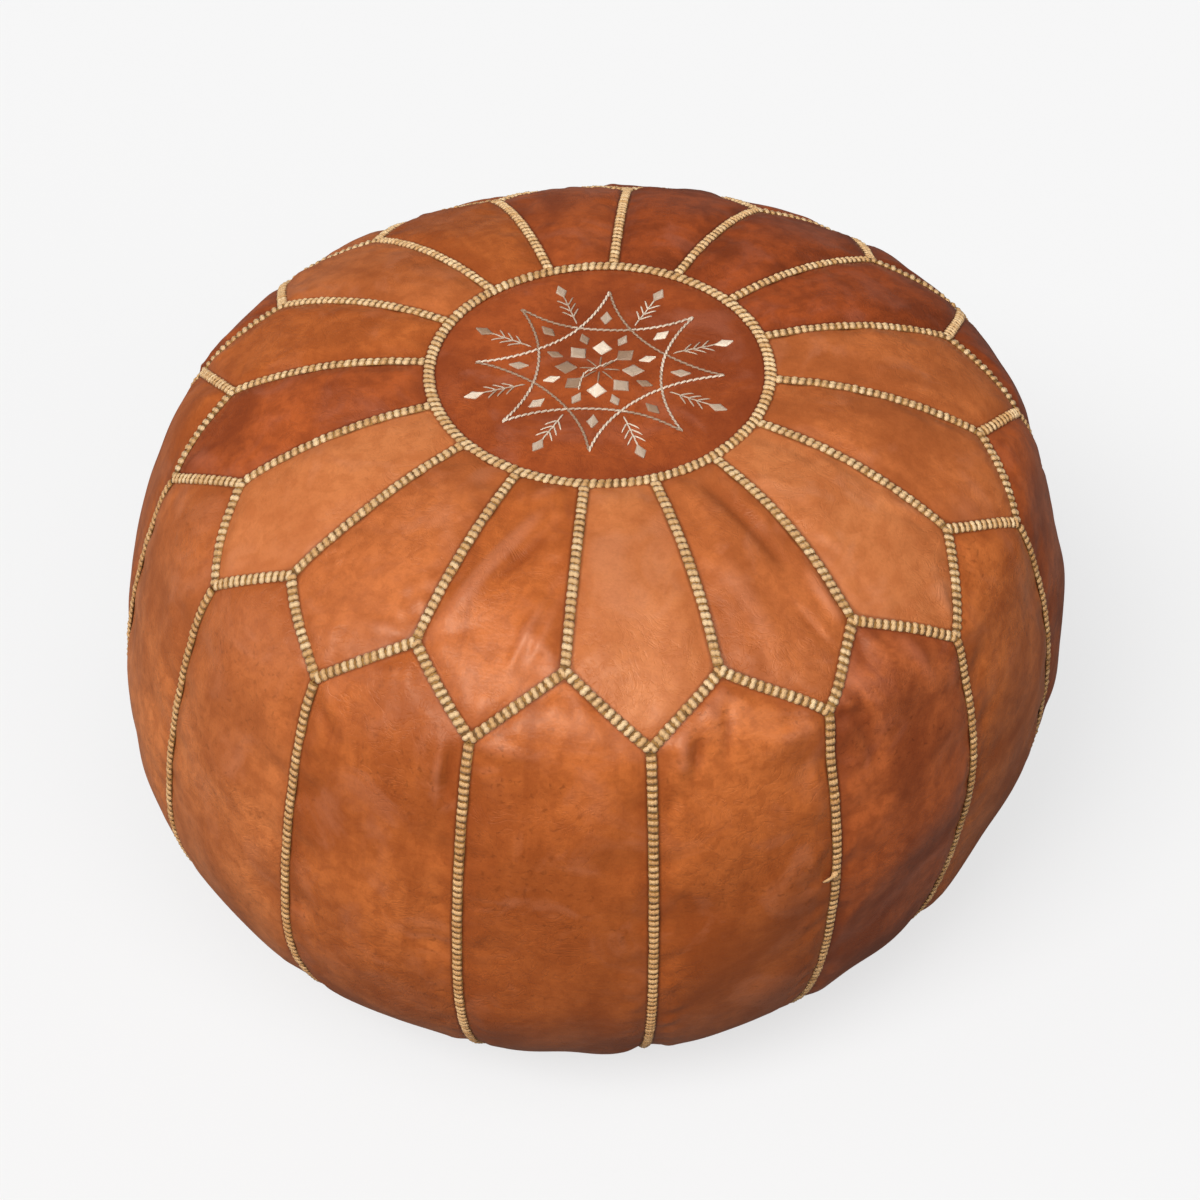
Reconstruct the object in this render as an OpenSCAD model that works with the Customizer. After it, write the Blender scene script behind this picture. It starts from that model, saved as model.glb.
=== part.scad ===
// Round leather floor pouf. An embroidered medallion, a ring of petals and a ring of side
// panels are whip-stitched together over a cotton lining and its stuffing, and a brass zip
// opens the base. Millimetres, +Z up, origin on the floor under the centre.

/* [Overall] */
// Height of the flat crown above the floor
pouf_h = 340; // [280:1:410]
// Radius at the widest level
pouf_r = 265; // [220:1:320]
// Height of the widest level above the floor
belly_z = 139; // [115:1:168]
// Radius of the arc that turns the crown into the side
shoulder_r = 64; // [50:1:78]

/* [Leather] */
// Thickness of the leather
leather_t = 2; // [1.5:0.1:3]
// Radius of the seam around the medallion
medallion_r = 92; // [80:1:112]
// Slope of the leather where the side panels peak between two petals, in degrees
notch_slope = 30; // [26:1:34]
// Slope of the leather at the point of each petal, in degrees
tip_slope = 55; // [46:1:66]
// Slope of the leather at the base seam, in degrees up from the floor
rim_slope = 17; // [12:1:24]
// Gap between two panels at their seam
seam_gap = 0.4; // [0.2:0.1:0.8]

/* [Seam stitching] */
// Width of the thread band over a seam
stitch_w = 6.4; // [5:0.1:8]
// How far the thread band stands out of the leather
stitch_h = 2; // [1:0.1:2.6]
// Gap between two thread bands that meet
band_gap = 0.4; // [0.2:0.1:1]

/* [Embroidery] */
// Distance from the centre to each point of the star
star_r = 68; // [60:1:74]
// Distance from the centre to the middle of the diamond in each point
point_r = 44; // [40:1:48]
// Distance from the centre to the middle of the rosette's large diamonds
rosette_r = 18; // [16:0.5:20]
// Distance from the centre to the middle of the rosette's small diamonds
rosette_outer_r = 27.6; // [26:0.2:29]
// Width of an embroidered line
line_w = 1.6; // [1:0.1:2.4]
// Thickness of the embroidery over the leather
thread_t = 0.6; // [0.4:0.1:1]
// Distance from the centre to the middle of the sprigs' end diamonds
sprig_r = 71; // [69:1:74]
// Half the length of the diamonds in the points and on the sprigs
diamond_l = 5.2; // [4.6:0.1:5.6]
// Half the width of the diamonds in the points and on the sprigs
diamond_w = 2.9; // [2.4:0.1:3.4]
// Length of a sprig's barbs
barb_l = 8; // [6:0.5:9]

/* [Lining and stuffing] */
// Thickness of the cotton lining
lining_t = 1; // [0.6:0.1:2]
// Gap between leather, lining and stuffing
lay_gap = 0.3; // [0.2:0.1:1]

/* [Zip] */
// Length of the row of teeth
zip_l = 196; // [150:1:236]
// Width across the slider
slider_w = 10; // [9:0.5:13]
// Length of the slider
slider_l = 12; // [10:0.5:15]
// Length of the pull from its pin to its end
pull_l = 26; // [22:1:32]
// Thickness of the zip's teeth
tooth_t = 2.8; // [2.2:0.1:3.4]
// Length of one tooth along the zip
tooth_l = 1.7; // [1.2:0.1:2]
// Distance between teeth
tooth_pitch = 3; // [2.5:0.1:4]
// Thickness of the zip's tape
tape_t = 0.8; // [0.5:0.1:1]
// Running clearance between the slider and the teeth
zip_clear = 0.25; // [0.2:0.05:0.4]
// Clearance from the slider to the leather on each side
slot_clear = 1.2; // [0.8:0.1:2]
// Width of the folded leather facing along the zip
facing_w = 14; // [12:0.5:18]
// Thickness of the folded leather facing
facing_t = 3.5; // [3.3:0.1:4]

/* [Hidden] */
$fn = 96;
panels = 16;                      // petals, and also side panels
pitch = 360 / panels;
half = pitch / 2;
span = 3 * max(pouf_r, pouf_h);   // longer than anything here
gap_angle = 2 * asin(seam_gap / 2 / medallion_r);

seam_from = 10;                    // a slope above every zigzag and side seam

// Embroidery
large_diamond = [5.8, 5.4];        // half length and half width, in the rosette
small_diamond = [4.4, 2.6];
stem_l = 28;                       // from a sprig's inner end to the middle of its diamond
stem_clear = 3;                    // from the stem's outer end to the same point
barb_places = [23, 18, 13];        // from that point inwards
barb_lean = 38;

// The zip lies along X over the middle of the base.
slot_w = slider_w / 2 + slot_clear;           // half the slot between the base panels
slide_end = zip_l / 2 - slider_l / 2;         // slider's middle, at either end of its travel
end_clear = 3;                                // from the pull to the end of the slot
slot_l = slide_end + pull_l + end_clear;      // half the slot's length
facing_over = 10;                             // facing and tape run past the slot
facing_l = slot_l + facing_over;
flat_margin = 3;
foot_r = norm([facing_l, slot_w + facing_w]) + flat_margin;   // flat part that meets the floor
crown_r = medallion_r + stitch_w / 2 + flat_margin;           // flat part of the crown

// Outline of the pouf: five tangent arcs from the crown to the foot. An angle is the slope
// of the leather, 0 on the crown, 90 at the belly and 180 under the foot. Two radii on each
// side of the belly follow from the height and the width between the flats.
crown_end = 35;
shoulder_end = 70;
flank_end = 130;
function dir(a) = [sin(a), cos(a)];
function sweep(a, b) = [sin(b) - sin(a), cos(a) - cos(b)];
// Radii p and q with p*a + q*b = v, where a and b are 2D vectors
function two_radii(a, b, v) = [cross(v, b), cross(a, v)] / cross(a, b);
upper = two_radii(sweep(0, crown_end), sweep(shoulder_end, 90),
    [pouf_r - crown_r, pouf_h - belly_z] - shoulder_r * sweep(crown_end, shoulder_end));
lower = two_radii(-sweep(90, flank_end), -sweep(flank_end, 180), [pouf_r - foot_r, -belly_z]);
crown_c = [crown_r, pouf_h - upper[0]];
arcs = [    // centre, radius, slope at the end
    [crown_c, upper[0], crown_end],
    [crown_c + (upper[0] - shoulder_r) * dir(crown_end), shoulder_r, shoulder_end],
    [[pouf_r - upper[1], belly_z], upper[1], 90],
    [[pouf_r - lower[0], belly_z], lower[0], flank_end],
    [[foot_r, lower[1]], lower[1], 180]];

// The arcs are drawn in short straight steps, the same for every layer, so that layers meet
// face to face. Inset is the depth under the leather's outer face.
step = 5;
function on_arc(slope, inset) =
    let (arc = [for (a = arcs) if (slope <= a[2]) a][0])
    arc[0] + (arc[1] - inset) * dir(slope);
function outline(slope, inset = 0) =
    let (a = min(floor(slope / step), 180 / step - 1) * step, part = (slope - a) / step)
    (1 - part) * on_arc(a, inset) + part * on_arc(a + step, inset);
function steps_between(from, to) =
    concat([from], [for (a = [0 : step : 180]) if (a > from && a < to) a], [to]);
function reversed(list) = [for (i = [len(list) - 1 : -1 : 0]) list[i]];
// Section of one layer, between two slopes and two insets
function strip(from, to, outer, inner) =
    let (at = steps_between(from, to))
    concat([for (a = at) outline(a, outer)], [for (a = reversed(at)) outline(a, inner)]);
// The same with a flat part in front, which starts at a radius of the crown
function crown_strip(r, to, outer, inner) =
    concat([[r, pouf_h - outer]], strip(0, to, outer, inner), [[r, pouf_h - inner]]);
// The same from a slope of the rim to the middle of the base
function base_strip(from, outer, inner) =
    let (at = steps_between(from, 180))
    concat([for (a = at) outline(a, outer)], [[0, outer], [0, inner]],
        [for (a = reversed(at)) outline(a, inner)]);

// Degrees of slope that a width of leather takes up
function slope_of(width, slope) = width / norm(outline(slope + 1) - outline(slope));
// A point of the leather turned about the axis
function around(slope, turn) =
    let (p = outline(slope)) [p.x * cos(turn), p.x * sin(turn), p.y];
function notch(i) = around(notch_slope, i * pitch);
function tip(i) = around(tip_slope, i * pitch + half);
base_slope = 180 - rim_slope;

// Heights in the zip, from the floor up
tape_z = leather_t + facing_t;
tooth_mid = tape_z + tape_t / 2;
tooth_in = 0.8;                   // from the zip's middle to the teeth
tooth_out = 3.4;
rail_in = tooth_out + zip_clear;  // inner side of the slider's rails
plate_t = 1.1;
plate_z = tooth_mid - tooth_t / 2 - zip_clear - plate_t;      // underside of the slider's plate
plate_top = tooth_mid + tooth_t / 2 + zip_clear + plate_t;
pin_r = 0.5;                      // the pull's cross pin
pin_room = 0.3;                   // above and below the pin
pin_z = plate_z - pin_room - pin_r;
bridge_t = 1;
bridge_z = pin_z - pin_r - pin_room - bridge_t;
bridge_l = 7.8;
bridge_w = 2.4;
pull_w = 8;
arm_w = 1.6;
arm_in = bridge_w / 2 + 0.4;
eye_l = norm([bridge_l / 2, pin_z - bridge_z]) + 0.4;         // clears the bridge as it turns
slider_x = -slide_end;            // the zip is closed
pocket_top = plate_top + 3;       // hollow over the zip in the lining and stuffing
pocket_w = slot_w + facing_w + 3;
pocket_l = facing_l + 3;

tan_leather = ["#b8683a", "#a85a30", "#bd6f40", "#9c4f2a", "#b26236"];
gold_thread = "#c9a66b";
cream_thread = "#d9c3a3";
brass = "#b5903f";
cotton = "#e6dcc6";

function two_digits(i) = str(i < 10 ? "0" : "", i);
petal_names = [for (i = [1 : panels]) str("petal_", two_digits(i))];
side_names = [for (i = [1 : panels]) str("side_panel_", two_digits(i))];

// ---- Shapes shared by the pieces ----

// Turns a section through an angle that is centred on turn
module revolve(turn, angle) {
    rotate(turn - angle / 2) rotate_extrude(angle = angle) children();
}

// Block on one side of the plane through the belly's centre and two points of the leather,
// from one distance to another along the plane's upward normal
module seam_block(p, q, from, to) {
    hub = [0, 0, belly_z];
    w = cross(p - hub, q - hub) / norm(cross(p - hub, q - hub));
    u = (p - hub) / norm(p - hub);
    v = cross(w, u);
    multmatrix([[u.x, v.x, w.x, 0], [u.y, v.y, w.y, 0], [u.z, v.z, w.z, belly_z], [0, 0, 0, 1]])
        translate([-span, -span, from]) cube([2 * span, 2 * span, to - from]);
}

module diamond(l, w) {
    polygon([[l, 0], [0, w], [-l, 0], [0, -w]]);
}

// Puts an embroidered outline on the crown
module on_crown() {
    translate([0, 0, pouf_h]) linear_extrude(thread_t) children();
}

// ---- Leather ----

module medallion() {
    color("#8f3f1e") translate([0, 0, pouf_h - leather_t])
        cylinder(h = leather_t, r = medallion_r - seam_gap / 2);
}

module petal(i) {
    color(tan_leather[i % len(tan_leather)]) intersection() {
        revolve(i * pitch + half, pitch - gap_angle)
            polygon(crown_strip(medallion_r + seam_gap / 2, 90, 0, leather_t));
        seam_block(notch(i), tip(i), seam_gap / 2, span);
        seam_block(tip(i), notch(i + 1), seam_gap / 2, span);
    }
}

module side_panel(i) {
    color(tan_leather[(i + 2) % len(tan_leather)]) intersection() {
        revolve(i * pitch, pitch - gap_angle)
            polygon(strip(seam_from, base_slope - slope_of(seam_gap / 2, base_slope), 0, leather_t));
        seam_block(tip(i - 1), notch(i), -span, -seam_gap / 2);
        seam_block(notch(i), tip(i), -span, -seam_gap / 2);
    }
}

module base_disc() {
    rim = base_slope + slope_of(seam_gap / 2, base_slope);
    rotate_extrude() polygon(base_strip(rim, 0, leather_t));
}

module base_panel(side) {
    color("#a85a30") intersection() {
        base_disc();
        translate([-span / 2, side > 0 ? slot_w : -slot_w - span, -span / 2]) cube(span);
    }
}

module zip_end_tab(side) {
    tab_w = slot_w - seam_gap;
    color("#9c4f2a") intersection() {
        base_disc();
        translate([side > 0 ? slot_l : -slot_l - span, -tab_w, -span / 2])
            cube([span, 2 * tab_w, span]);
    }
}

// ---- Thread bands over the seams ----

module thread_band() {
    color(gold_thread) children();
}

module band_slab(turn) {
    rotate(turn) translate([0, -stitch_w / 2, 0]) cube([span, stitch_w, span]);
}

module medallion_stitching() {
    thread_band() rotate_extrude() translate([medallion_r - stitch_w / 2, pouf_h])
        square([stitch_w, stitch_h]);
}

module petal_stitching() {
    clear = stitch_w / 2 + band_gap;
    thread_band() for (i = [0 : panels - 1]) intersection() {
        revolve(i * pitch, half) polygon(crown_strip(medallion_r + clear, 90, -stitch_h, 0));
        band_slab(i * pitch);
        seam_block(tip(i - 1), notch(i), clear, span);
        seam_block(notch(i), tip(i), clear, span);
    }
}

module zigzag_stitching() {
    thread_band() for (i = [0 : panels - 1]) {
        intersection() {
            revolve((i + 0.25) * pitch, half - gap_angle) polygon(strip(seam_from, 90, -stitch_h, 0));
            seam_block(notch(i), tip(i), -stitch_w / 2, stitch_w / 2);
        }
        intersection() {
            revolve((i + 0.75) * pitch, half - gap_angle) polygon(strip(seam_from, 90, -stitch_h, 0));
            seam_block(tip(i), notch(i + 1), -stitch_w / 2, stitch_w / 2);
        }
    }
}

module side_stitching() {
    clear = stitch_w / 2 + band_gap;
    thread_band() for (i = [0 : panels - 1]) intersection() {
        revolve((i + 0.5) * pitch, half)
            polygon(strip(seam_from, base_slope - slope_of(clear, base_slope), -stitch_h, 0));
        band_slab((i + 0.5) * pitch);
        seam_block(notch(i), tip(i), -span, -clear);
        seam_block(tip(i), notch(i + 1), -span, -clear);
    }
}

module base_stitching() {
    reach = slope_of(stitch_w / 2, base_slope);
    thread_band() rotate_extrude() polygon(strip(base_slope - reach, base_slope + reach, -stitch_h, 0));
}

// ---- Embroidery ----

// One four-pointed star with hollow sides, drawn as a line
module hollow_star_line() {
    reach = 1.25 * star_r;                     // centre of each hollow side, along X and Y
    curve = norm([reach - star_r, reach]);     // passes through two points of the star
    module sides(r) {
        for (turn = [0 : 90 : 270]) rotate(turn) translate([reach, reach]) circle(r);
    }
    difference() {
        diamond(star_r, star_r);
        sides(curve);
        difference() {
            diamond(star_r, star_r);
            sides(curve + line_w);
        }
    }
}

module embroidered_star() {
    color(cream_thread) on_crown() for (turn = [0, 45]) rotate(turn) hollow_star_line();
}

module embroidered_points() {
    color(cream_thread) on_crown() for (turn = [0 : 45 : 315])
        rotate(turn) translate([point_r, 0]) diamond(diamond_l, diamond_w);
}

module embroidered_rosette() {
    color(cream_thread) on_crown() for (turn = [0 : 45 : 315]) {
        rotate(turn) translate([rosette_r, 0]) diamond(large_diamond[0], large_diamond[1]);
        rotate(turn + 22.5) translate([rosette_outer_r, 0]) diamond(small_diamond[0], small_diamond[1]);
    }
}

module embroidered_sprigs() {
    stem_start = sprig_r - stem_l;
    stem_end = sprig_r - stem_clear;
    color(cream_thread) on_crown() for (turn = [22.5 : 45 : 337.5]) rotate(turn) {
        translate([stem_start, -line_w / 2]) square([stem_end - stem_start, line_w]);
        translate([sprig_r, 0]) diamond(diamond_l, diamond_w);
        for (back = barb_places, side = [-1, 1]) translate([sprig_r - back, 0])
            rotate(side * barb_lean) translate([0, -line_w / 2]) square([barb_l, line_w]);
    }
}

// ---- Lining and stuffing ----

module zip_pocket() {
    translate([-pocket_l, -pocket_w, -1]) cube([2 * pocket_l, 2 * pocket_w, pocket_top + 1]);
}

lining_out = leather_t + lay_gap;
lining_in = lining_out + lining_t;

module lining_top() {
    color(cotton) rotate_extrude() polygon(crown_strip(0, notch_slope, lining_out, lining_in));
}

module lining_side() {
    top = notch_slope + slope_of(lay_gap, notch_slope);
    bottom = base_slope - slope_of(lay_gap, base_slope);
    color(cotton) rotate_extrude() polygon(strip(top, bottom, lining_out, lining_in));
}

module lining_base() {
    color(cotton) difference() {
        rotate_extrude() polygon(base_strip(base_slope, lining_out, lining_in));
        zip_pocket();
    }
}

module stuffing() {
    inset = lining_in + lay_gap;
    color("#efe9dc") difference() {
        rotate_extrude() polygon(concat([[0, pouf_h - inset]],
            [for (a = [0 : step : 180]) outline(a, inset)], [[0, inset]]));
        zip_pocket();
    }
}

// ---- Zip ----

// Left is +Y, right is -Y
module zip_facing(side) {
    color("#8f4a27") translate([-facing_l, side > 0 ? slot_w : -slot_w - facing_w, leather_t])
        cube([2 * facing_l, facing_w, facing_t]);
}

// The tape's edge lies between the jaws of the teeth
tape_in = tooth_in + 1.4;
module tape_strip(clear) {
    translate([-facing_l, tape_in - clear, tape_z - clear])
        cube([2 * facing_l, slot_w + facing_w - tape_in - 1, tape_t + 2 * clear]);
}

module zip_tape(side) {
    color("#6b4a33") mirror([0, side > 0 ? 0 : 1, 0]) tape_strip(0);
}

module zip_teeth(side) {
    count = floor(zip_l / tooth_pitch);
    first = -(count - 1) / 2 * tooth_pitch;
    stagger = side > 0 ? 0 : tooth_pitch / 2;
    color(brass) mirror([0, side > 0 ? 0 : 1, 0]) difference() {
        for (i = [0 : count - (side > 0 ? 1 : 2)])
            translate([first + i * tooth_pitch + stagger - tooth_l / 2, tooth_in, tooth_mid - tooth_t / 2])
                cube([tooth_l, tooth_out - tooth_in, tooth_t]);
        tape_strip(0);
    }
}

module zip_stops() {
    stop_l = 4;
    stop_gap = 0.6;
    color(brass) for (side = [0, 1], back = [0, 1]) mirror([0, side, 0]) mirror([back, 0, 0])
        difference() {
            translate([zip_l / 2 + stop_gap, tooth_in, tooth_mid - tooth_t / 2])
                cube([stop_l, tooth_out - tooth_in, tooth_t]);
            tape_strip(0);
        }
}

module slider_plate(z) {
    corner = 2;
    translate([0, 0, z]) linear_extrude(plate_t) union() {
        square([slider_l, slider_w - 2 * corner], center = true);
        square([slider_l - 2 * corner, slider_w], center = true);
        for (x = [-1, 1], y = [-1, 1])
            translate([x * (slider_l / 2 - corner), y * (slider_w / 2 - corner)]) circle(corner);
    }
}

module zip_slider() {
    rail_l = slider_l - 4;
    rail_w = slider_w / 2 - rail_in;
    rail_h = (tooth_t - tape_t) / 2 - zip_clear;
    divider_w = tooth_in - zip_clear;
    divider_l = 3;
    color(brass) translate([slider_x, 0, 0]) {
        slider_plate(plate_z);
        slider_plate(plate_top - plate_t);
        for (y = [rail_in, -rail_in - rail_w]) translate([-rail_l / 2, y, 0]) {
            translate([0, 0, plate_z + plate_t]) cube([rail_l, rail_w, rail_h + zip_clear]);
            translate([0, 0, plate_top - plate_t - rail_h - zip_clear])
                cube([rail_l, rail_w, rail_h + zip_clear]);
        }
        translate([-slider_l / 2 + 1, -divider_w, plate_z]) cube([divider_l, 2 * divider_w, plate_top - plate_z]);
        translate([-bridge_l / 2, -bridge_w / 2, bridge_z]) difference() {
            cube([bridge_l, bridge_w, plate_z - bridge_z + plate_t / 2]);
            translate([bridge_t, -1, bridge_t]) cube([bridge_l - 2 * bridge_t, bridge_w + 2, plate_z - bridge_z - bridge_t]);
        }
    }
}

module zip_pull() {
    color(brass) translate([slider_x, 0, pin_z]) {
        rotate([90, 0, 0]) cylinder(h = 2 * (arm_in + arm_w), r = pin_r, center = true);
        for (y = [arm_in, -arm_in - arm_w]) translate([0, y, -pin_r]) cube([eye_l + 1, arm_w, 2 * pin_r]);
        translate([eye_l, 0, -pin_r]) linear_extrude(2 * pin_r) difference() {
            union() {
                translate([0, -arm_in - arm_w]) square([6, 2 * (arm_in + arm_w)]);
                translate([4, -pull_w / 2]) square([pull_l - eye_l - 4 - pull_w / 2, pull_w]);
                translate([pull_l - eye_l - pull_w / 2, 0]) circle(pull_w / 2);
            }
            translate([pull_l - eye_l - pull_w / 2, 0]) circle(1.6);
        }
    }
}

// ---- One call per node ----

medallion();
for (i = [0 : panels - 1]) petal(i);
for (i = [0 : panels - 1]) side_panel(i);
base_panel(1);  // base_panel_left
base_panel(-1);  // base_panel_right
zip_end_tab(-1);  // zip_end_tab_front
zip_end_tab(1);  // zip_end_tab_back
medallion_stitching();
petal_stitching();
zigzag_stitching();
side_stitching();
base_stitching();
embroidered_star();
embroidered_points();
embroidered_rosette();
embroidered_sprigs();
lining_top();
lining_side();
lining_base();
stuffing();
zip_facing(1);  // zip_facing_left
zip_facing(-1);  // zip_facing_right
zip_tape(1);  // zip_tape_left
zip_tape(-1);  // zip_tape_right
zip_teeth(1);  // zip_teeth_left
zip_teeth(-1);  // zip_teeth_right
zip_stops();
zip_slider();
zip_pull();
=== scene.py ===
# %% [markdown]
# # A stuffed leather pouf
#
# The pouf is sixteen petals and sixteen side panels of dyed goatskin, whip-stitched round an
# embroidered medallion over a cotton bag of wadding. The CAD model holds its sizes, its zip and
# its joints. This lesson loads that model as a fixed frame and builds what the eye sees round it.

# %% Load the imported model
import math

import bmesh
import bpy
import numpy as np
from mathutils import Matrix, Vector


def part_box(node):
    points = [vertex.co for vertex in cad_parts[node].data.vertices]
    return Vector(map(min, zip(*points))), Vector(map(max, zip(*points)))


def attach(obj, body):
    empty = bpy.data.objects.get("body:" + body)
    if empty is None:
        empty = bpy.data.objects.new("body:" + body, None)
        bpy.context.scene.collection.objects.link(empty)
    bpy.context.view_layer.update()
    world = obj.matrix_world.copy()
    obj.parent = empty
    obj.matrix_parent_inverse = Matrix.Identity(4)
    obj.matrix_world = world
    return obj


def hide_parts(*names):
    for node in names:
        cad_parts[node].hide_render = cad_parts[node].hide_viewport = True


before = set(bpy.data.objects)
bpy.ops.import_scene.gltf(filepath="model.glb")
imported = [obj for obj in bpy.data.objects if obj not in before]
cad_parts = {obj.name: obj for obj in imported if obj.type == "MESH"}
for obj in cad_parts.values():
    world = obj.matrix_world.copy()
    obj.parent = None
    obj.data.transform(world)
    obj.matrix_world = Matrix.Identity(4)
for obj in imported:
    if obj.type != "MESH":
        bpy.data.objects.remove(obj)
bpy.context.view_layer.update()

MM = 0.001
PANELS = 16
PITCH = math.tau / PANELS
PETALS = [f"petal_{i:02d}" for i in range(1, PANELS + 1)]
SIDES = [f"side_panel_{i:02d}" for i in range(1, PANELS + 1)]
scene = bpy.context.scene

# %% [markdown]
# ## The outline
#
# Every piece of leather lies on one surface of revolution. Its outline is convex, so it can be
# read back from the frame: it is the convex hull of the leather's corners, taken as radius and
# height. The hull has short straight steps, which a moving average rounds off.

# %% Read the outline from the leather
def read(items, field, width=3, kind=float):
    """One field of all the items of a mesh, in rows."""
    flat = np.zeros(len(items) * width, kind)
    items.foreach_get(field, flat)
    return flat.reshape(-1, width) if width > 1 else flat


def points_of(node_name):
    return read(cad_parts[node_name].data.vertices, "co")


def radii_of(node_name):
    points = points_of(node_name)
    return np.hypot(points[:, 0], points[:, 1])


def convex_outline(points, middle):
    """The hull's corners from the top of the axis out to the belly and down to its foot."""
    order = sorted(points, key=lambda p: (-p[1], p[0] if p[1] > middle else -p[0]))
    chain = []
    for p in order:
        while len(chain) > 1:
            (ar, az), (br, bz) = chain[-2:]
            if (br - ar) * (p[1] - bz) - (bz - az) * (p[0] - br) < -1e-9:
                break
            chain.pop()
        chain.append(p)
    return np.array(chain)


def smooth_outline(corners, spacing=MM, window=11, passes=3):
    """Even points along the outline, with its corners rounded: distance run, radius, height."""
    steps = np.hypot(*np.diff(corners, axis=0).T)
    along = np.concatenate([[0], np.cumsum(steps)])
    run = np.linspace(0, along[-1], int(along[-1] / spacing))
    radius = np.interp(run, along, corners[:, 0])
    height = np.interp(run, along, corners[:, 1])
    kernel = np.ones(window) / window
    pad = window * passes
    radius = np.concatenate([-radius[pad:0:-1], radius, -radius[-2:-pad - 2:-1]])
    height = np.concatenate([height[pad:0:-1], height, height[-2:-pad - 2:-1]])
    for _ in range(passes):
        radius = np.convolve(radius, kernel, "same")
        height = np.convolve(height, kernel, "same")
    return run, radius[pad:-pad], height[pad:-pad]


leather_nodes = ["medallion", "petal_01", "side_panel_01", "base_panel_left"]
section = {(round(math.hypot(x, y), 6), round(z, 6))
           for name in leather_nodes for x, y, z in points_of(name)}
top_z = max(z for _, z in section)
section |= {(0.0, top_z), (0.0, 0.0)}
RUN, OUT_R, OUT_Z = smooth_outline(convex_outline(section, top_z / 2))
slope_r, slope_z = np.gradient(OUT_R, RUN), np.gradient(OUT_Z, RUN)
slope_len = np.hypot(slope_r, slope_z)
NORMAL_R, NORMAL_Z = -slope_z / slope_len, slope_r / slope_len
BELLY = int(OUT_R.argmax())
print("outline", round(RUN[-1], 4), "m long, belly at height", round(OUT_Z[BELLY], 4))


def swing(r, z, turn):
    """Turns a radius and a height round the axis."""
    return np.stack([r * np.cos(turn), r * np.sin(turn), z + 0 * turn], axis=-1)


def skin(run, turn, lift=0.0):
    """Points run metres from the middle of the crown, at an angle, lifted off the leather."""
    return swing(np.interp(run, RUN, OUT_R) + lift * np.interp(run, RUN, NORMAL_R),
                 np.interp(run, RUN, OUT_Z) + lift * np.interp(run, RUN, NORMAL_Z), turn)


def skin_normal(run, turn):
    return swing(np.interp(run, RUN, NORMAL_R), np.interp(run, RUN, NORMAL_Z), turn)


def radius_at(run):
    return float(np.interp(run, RUN, OUT_R))

# %% [markdown]
# ## Where the seams run
#
# Five seams divide the skin: a ring round the medallion, sixteen between petals, a zigzag below
# the petals, sixteen down the sides, and a ring at the base. Each leg of the zigzag is cut by a
# plane through the middle of the belly, so its height at an angle is found on that plane.

# %% Find the seams on the outline
def run_at_height(z):
    return float(np.interp(-z, -OUT_Z[:BELLY], RUN[:BELLY]))


def run_under_belly(r):
    return np.interp(-r, -OUT_R[BELLY:], RUN[BELLY:])


ring_run = (radii_of("medallion").max() + radii_of("petal_01").min()) / 2
notch_run = run_at_height(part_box("side_panel_01")[1].z)
tip_run = float(np.interp(radii_of("petal_01").max(), OUT_R[:BELLY], RUN[:BELLY]))
base_run = float(run_under_belly(radii_of("base_panel_left").max()))
hub = np.array([0, 0, OUT_Z[BELLY]])
leg_plane = np.cross(skin(np.array(notch_run), np.array(0.0)) - hub,
                     skin(np.array(tip_run), np.array(PITCH / 2)) - hub)
leg_runs = np.linspace(notch_run - 0.02, tip_run + 0.02, 400)


def zigzag_run(turn):
    """Distance run to the zigzag seam at one angle."""
    away = abs((turn + PITCH / 2) % PITCH - PITCH / 2)
    side = (skin(leg_runs, np.full(len(leg_runs), away)) - hub) @ leg_plane
    order = int(np.sign(side[-1] - side[0]))        # interp needs rising values
    return float(np.interp(0, side[::order], leg_runs[::order]))


zigzag_tilt = math.atan2(tip_run - notch_run, PITCH / 2 * radius_at(tip_run))
print("runs to ring, notch, tip and base:",
      [round(x, 4) for x in (ring_run, notch_run, tip_run, base_run)])

# %% [markdown]
# ## How the stuffing has settled
#
# A hand-filled pouf is never a perfect solid of revolution. This one has sunk a little on its
# right-hand front and swelled on its left, and its crown sits a few millimetres off centre.
# One function moves every soft piece in the same way, and leaves the zip and the foot alone.

# %% Settle function
def bump(x, centre, width):
    return np.exp(-((x - centre) / width) ** 2)


def turn_from(turn, centre):
    return (turn - centre + math.pi) % math.tau - math.pi


SAGS = [    # direction in degrees, its width, height, its width, and the move outwards in mm
    (-38, 30, 0.110, 0.070, -14.5),
    (-60, 24, 0.045, 0.045, -1.5),
    (-112, 28, 0.050, 0.050, 3.0),
    (-150, 40, 0.105, 0.080, 7.0),
    (180, 32, 0.180, 0.060, 3.0),
    (8, 24, 0.190, 0.080, 3.0),
    (38, 22, 0.285, 0.040, 5.0),
    (118, 26, 0.300, 0.050, -4.0),
]
NUDGES = [  # where the seams' corners stray from the pattern: direction, height, mm down, mm around
    (202.5, 0.310, -3.0, 0.5), (225.0, 0.310, 3.0, -4.5), (292.5, 0.310, 5.5, -2.0),
    (315.0, 0.310, 5.5, -5.0), (337.5, 0.310, 4.0, 0.5), (0.0, 0.310, 6.0, 2.0),
    (236.25, 0.288, -1.5, 0.5), (303.75, 0.288, 2.0, 3.5), (326.25, 0.288, 5.5, -0.5),
    (213.75, 0.288, -2.5, 1.5),
]
NUDGE_SPREAD, NUDGE_TALL = 10, 0.016     # how far a nudge reaches, in degrees and in metres
FALL = math.radians(42)                  # how steeply the skin falls at the tips of the petals
CROWN_SHIFT = np.array([3.0, 0.0, 0.0]) * MM
FOOT_FREE, FOOT_EASE = 0.012, 0.03       # nothing moves below the first, everything above both
CROWN_STILL = 0.15                       # nearer the axis than this the skin sags less and less


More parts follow.
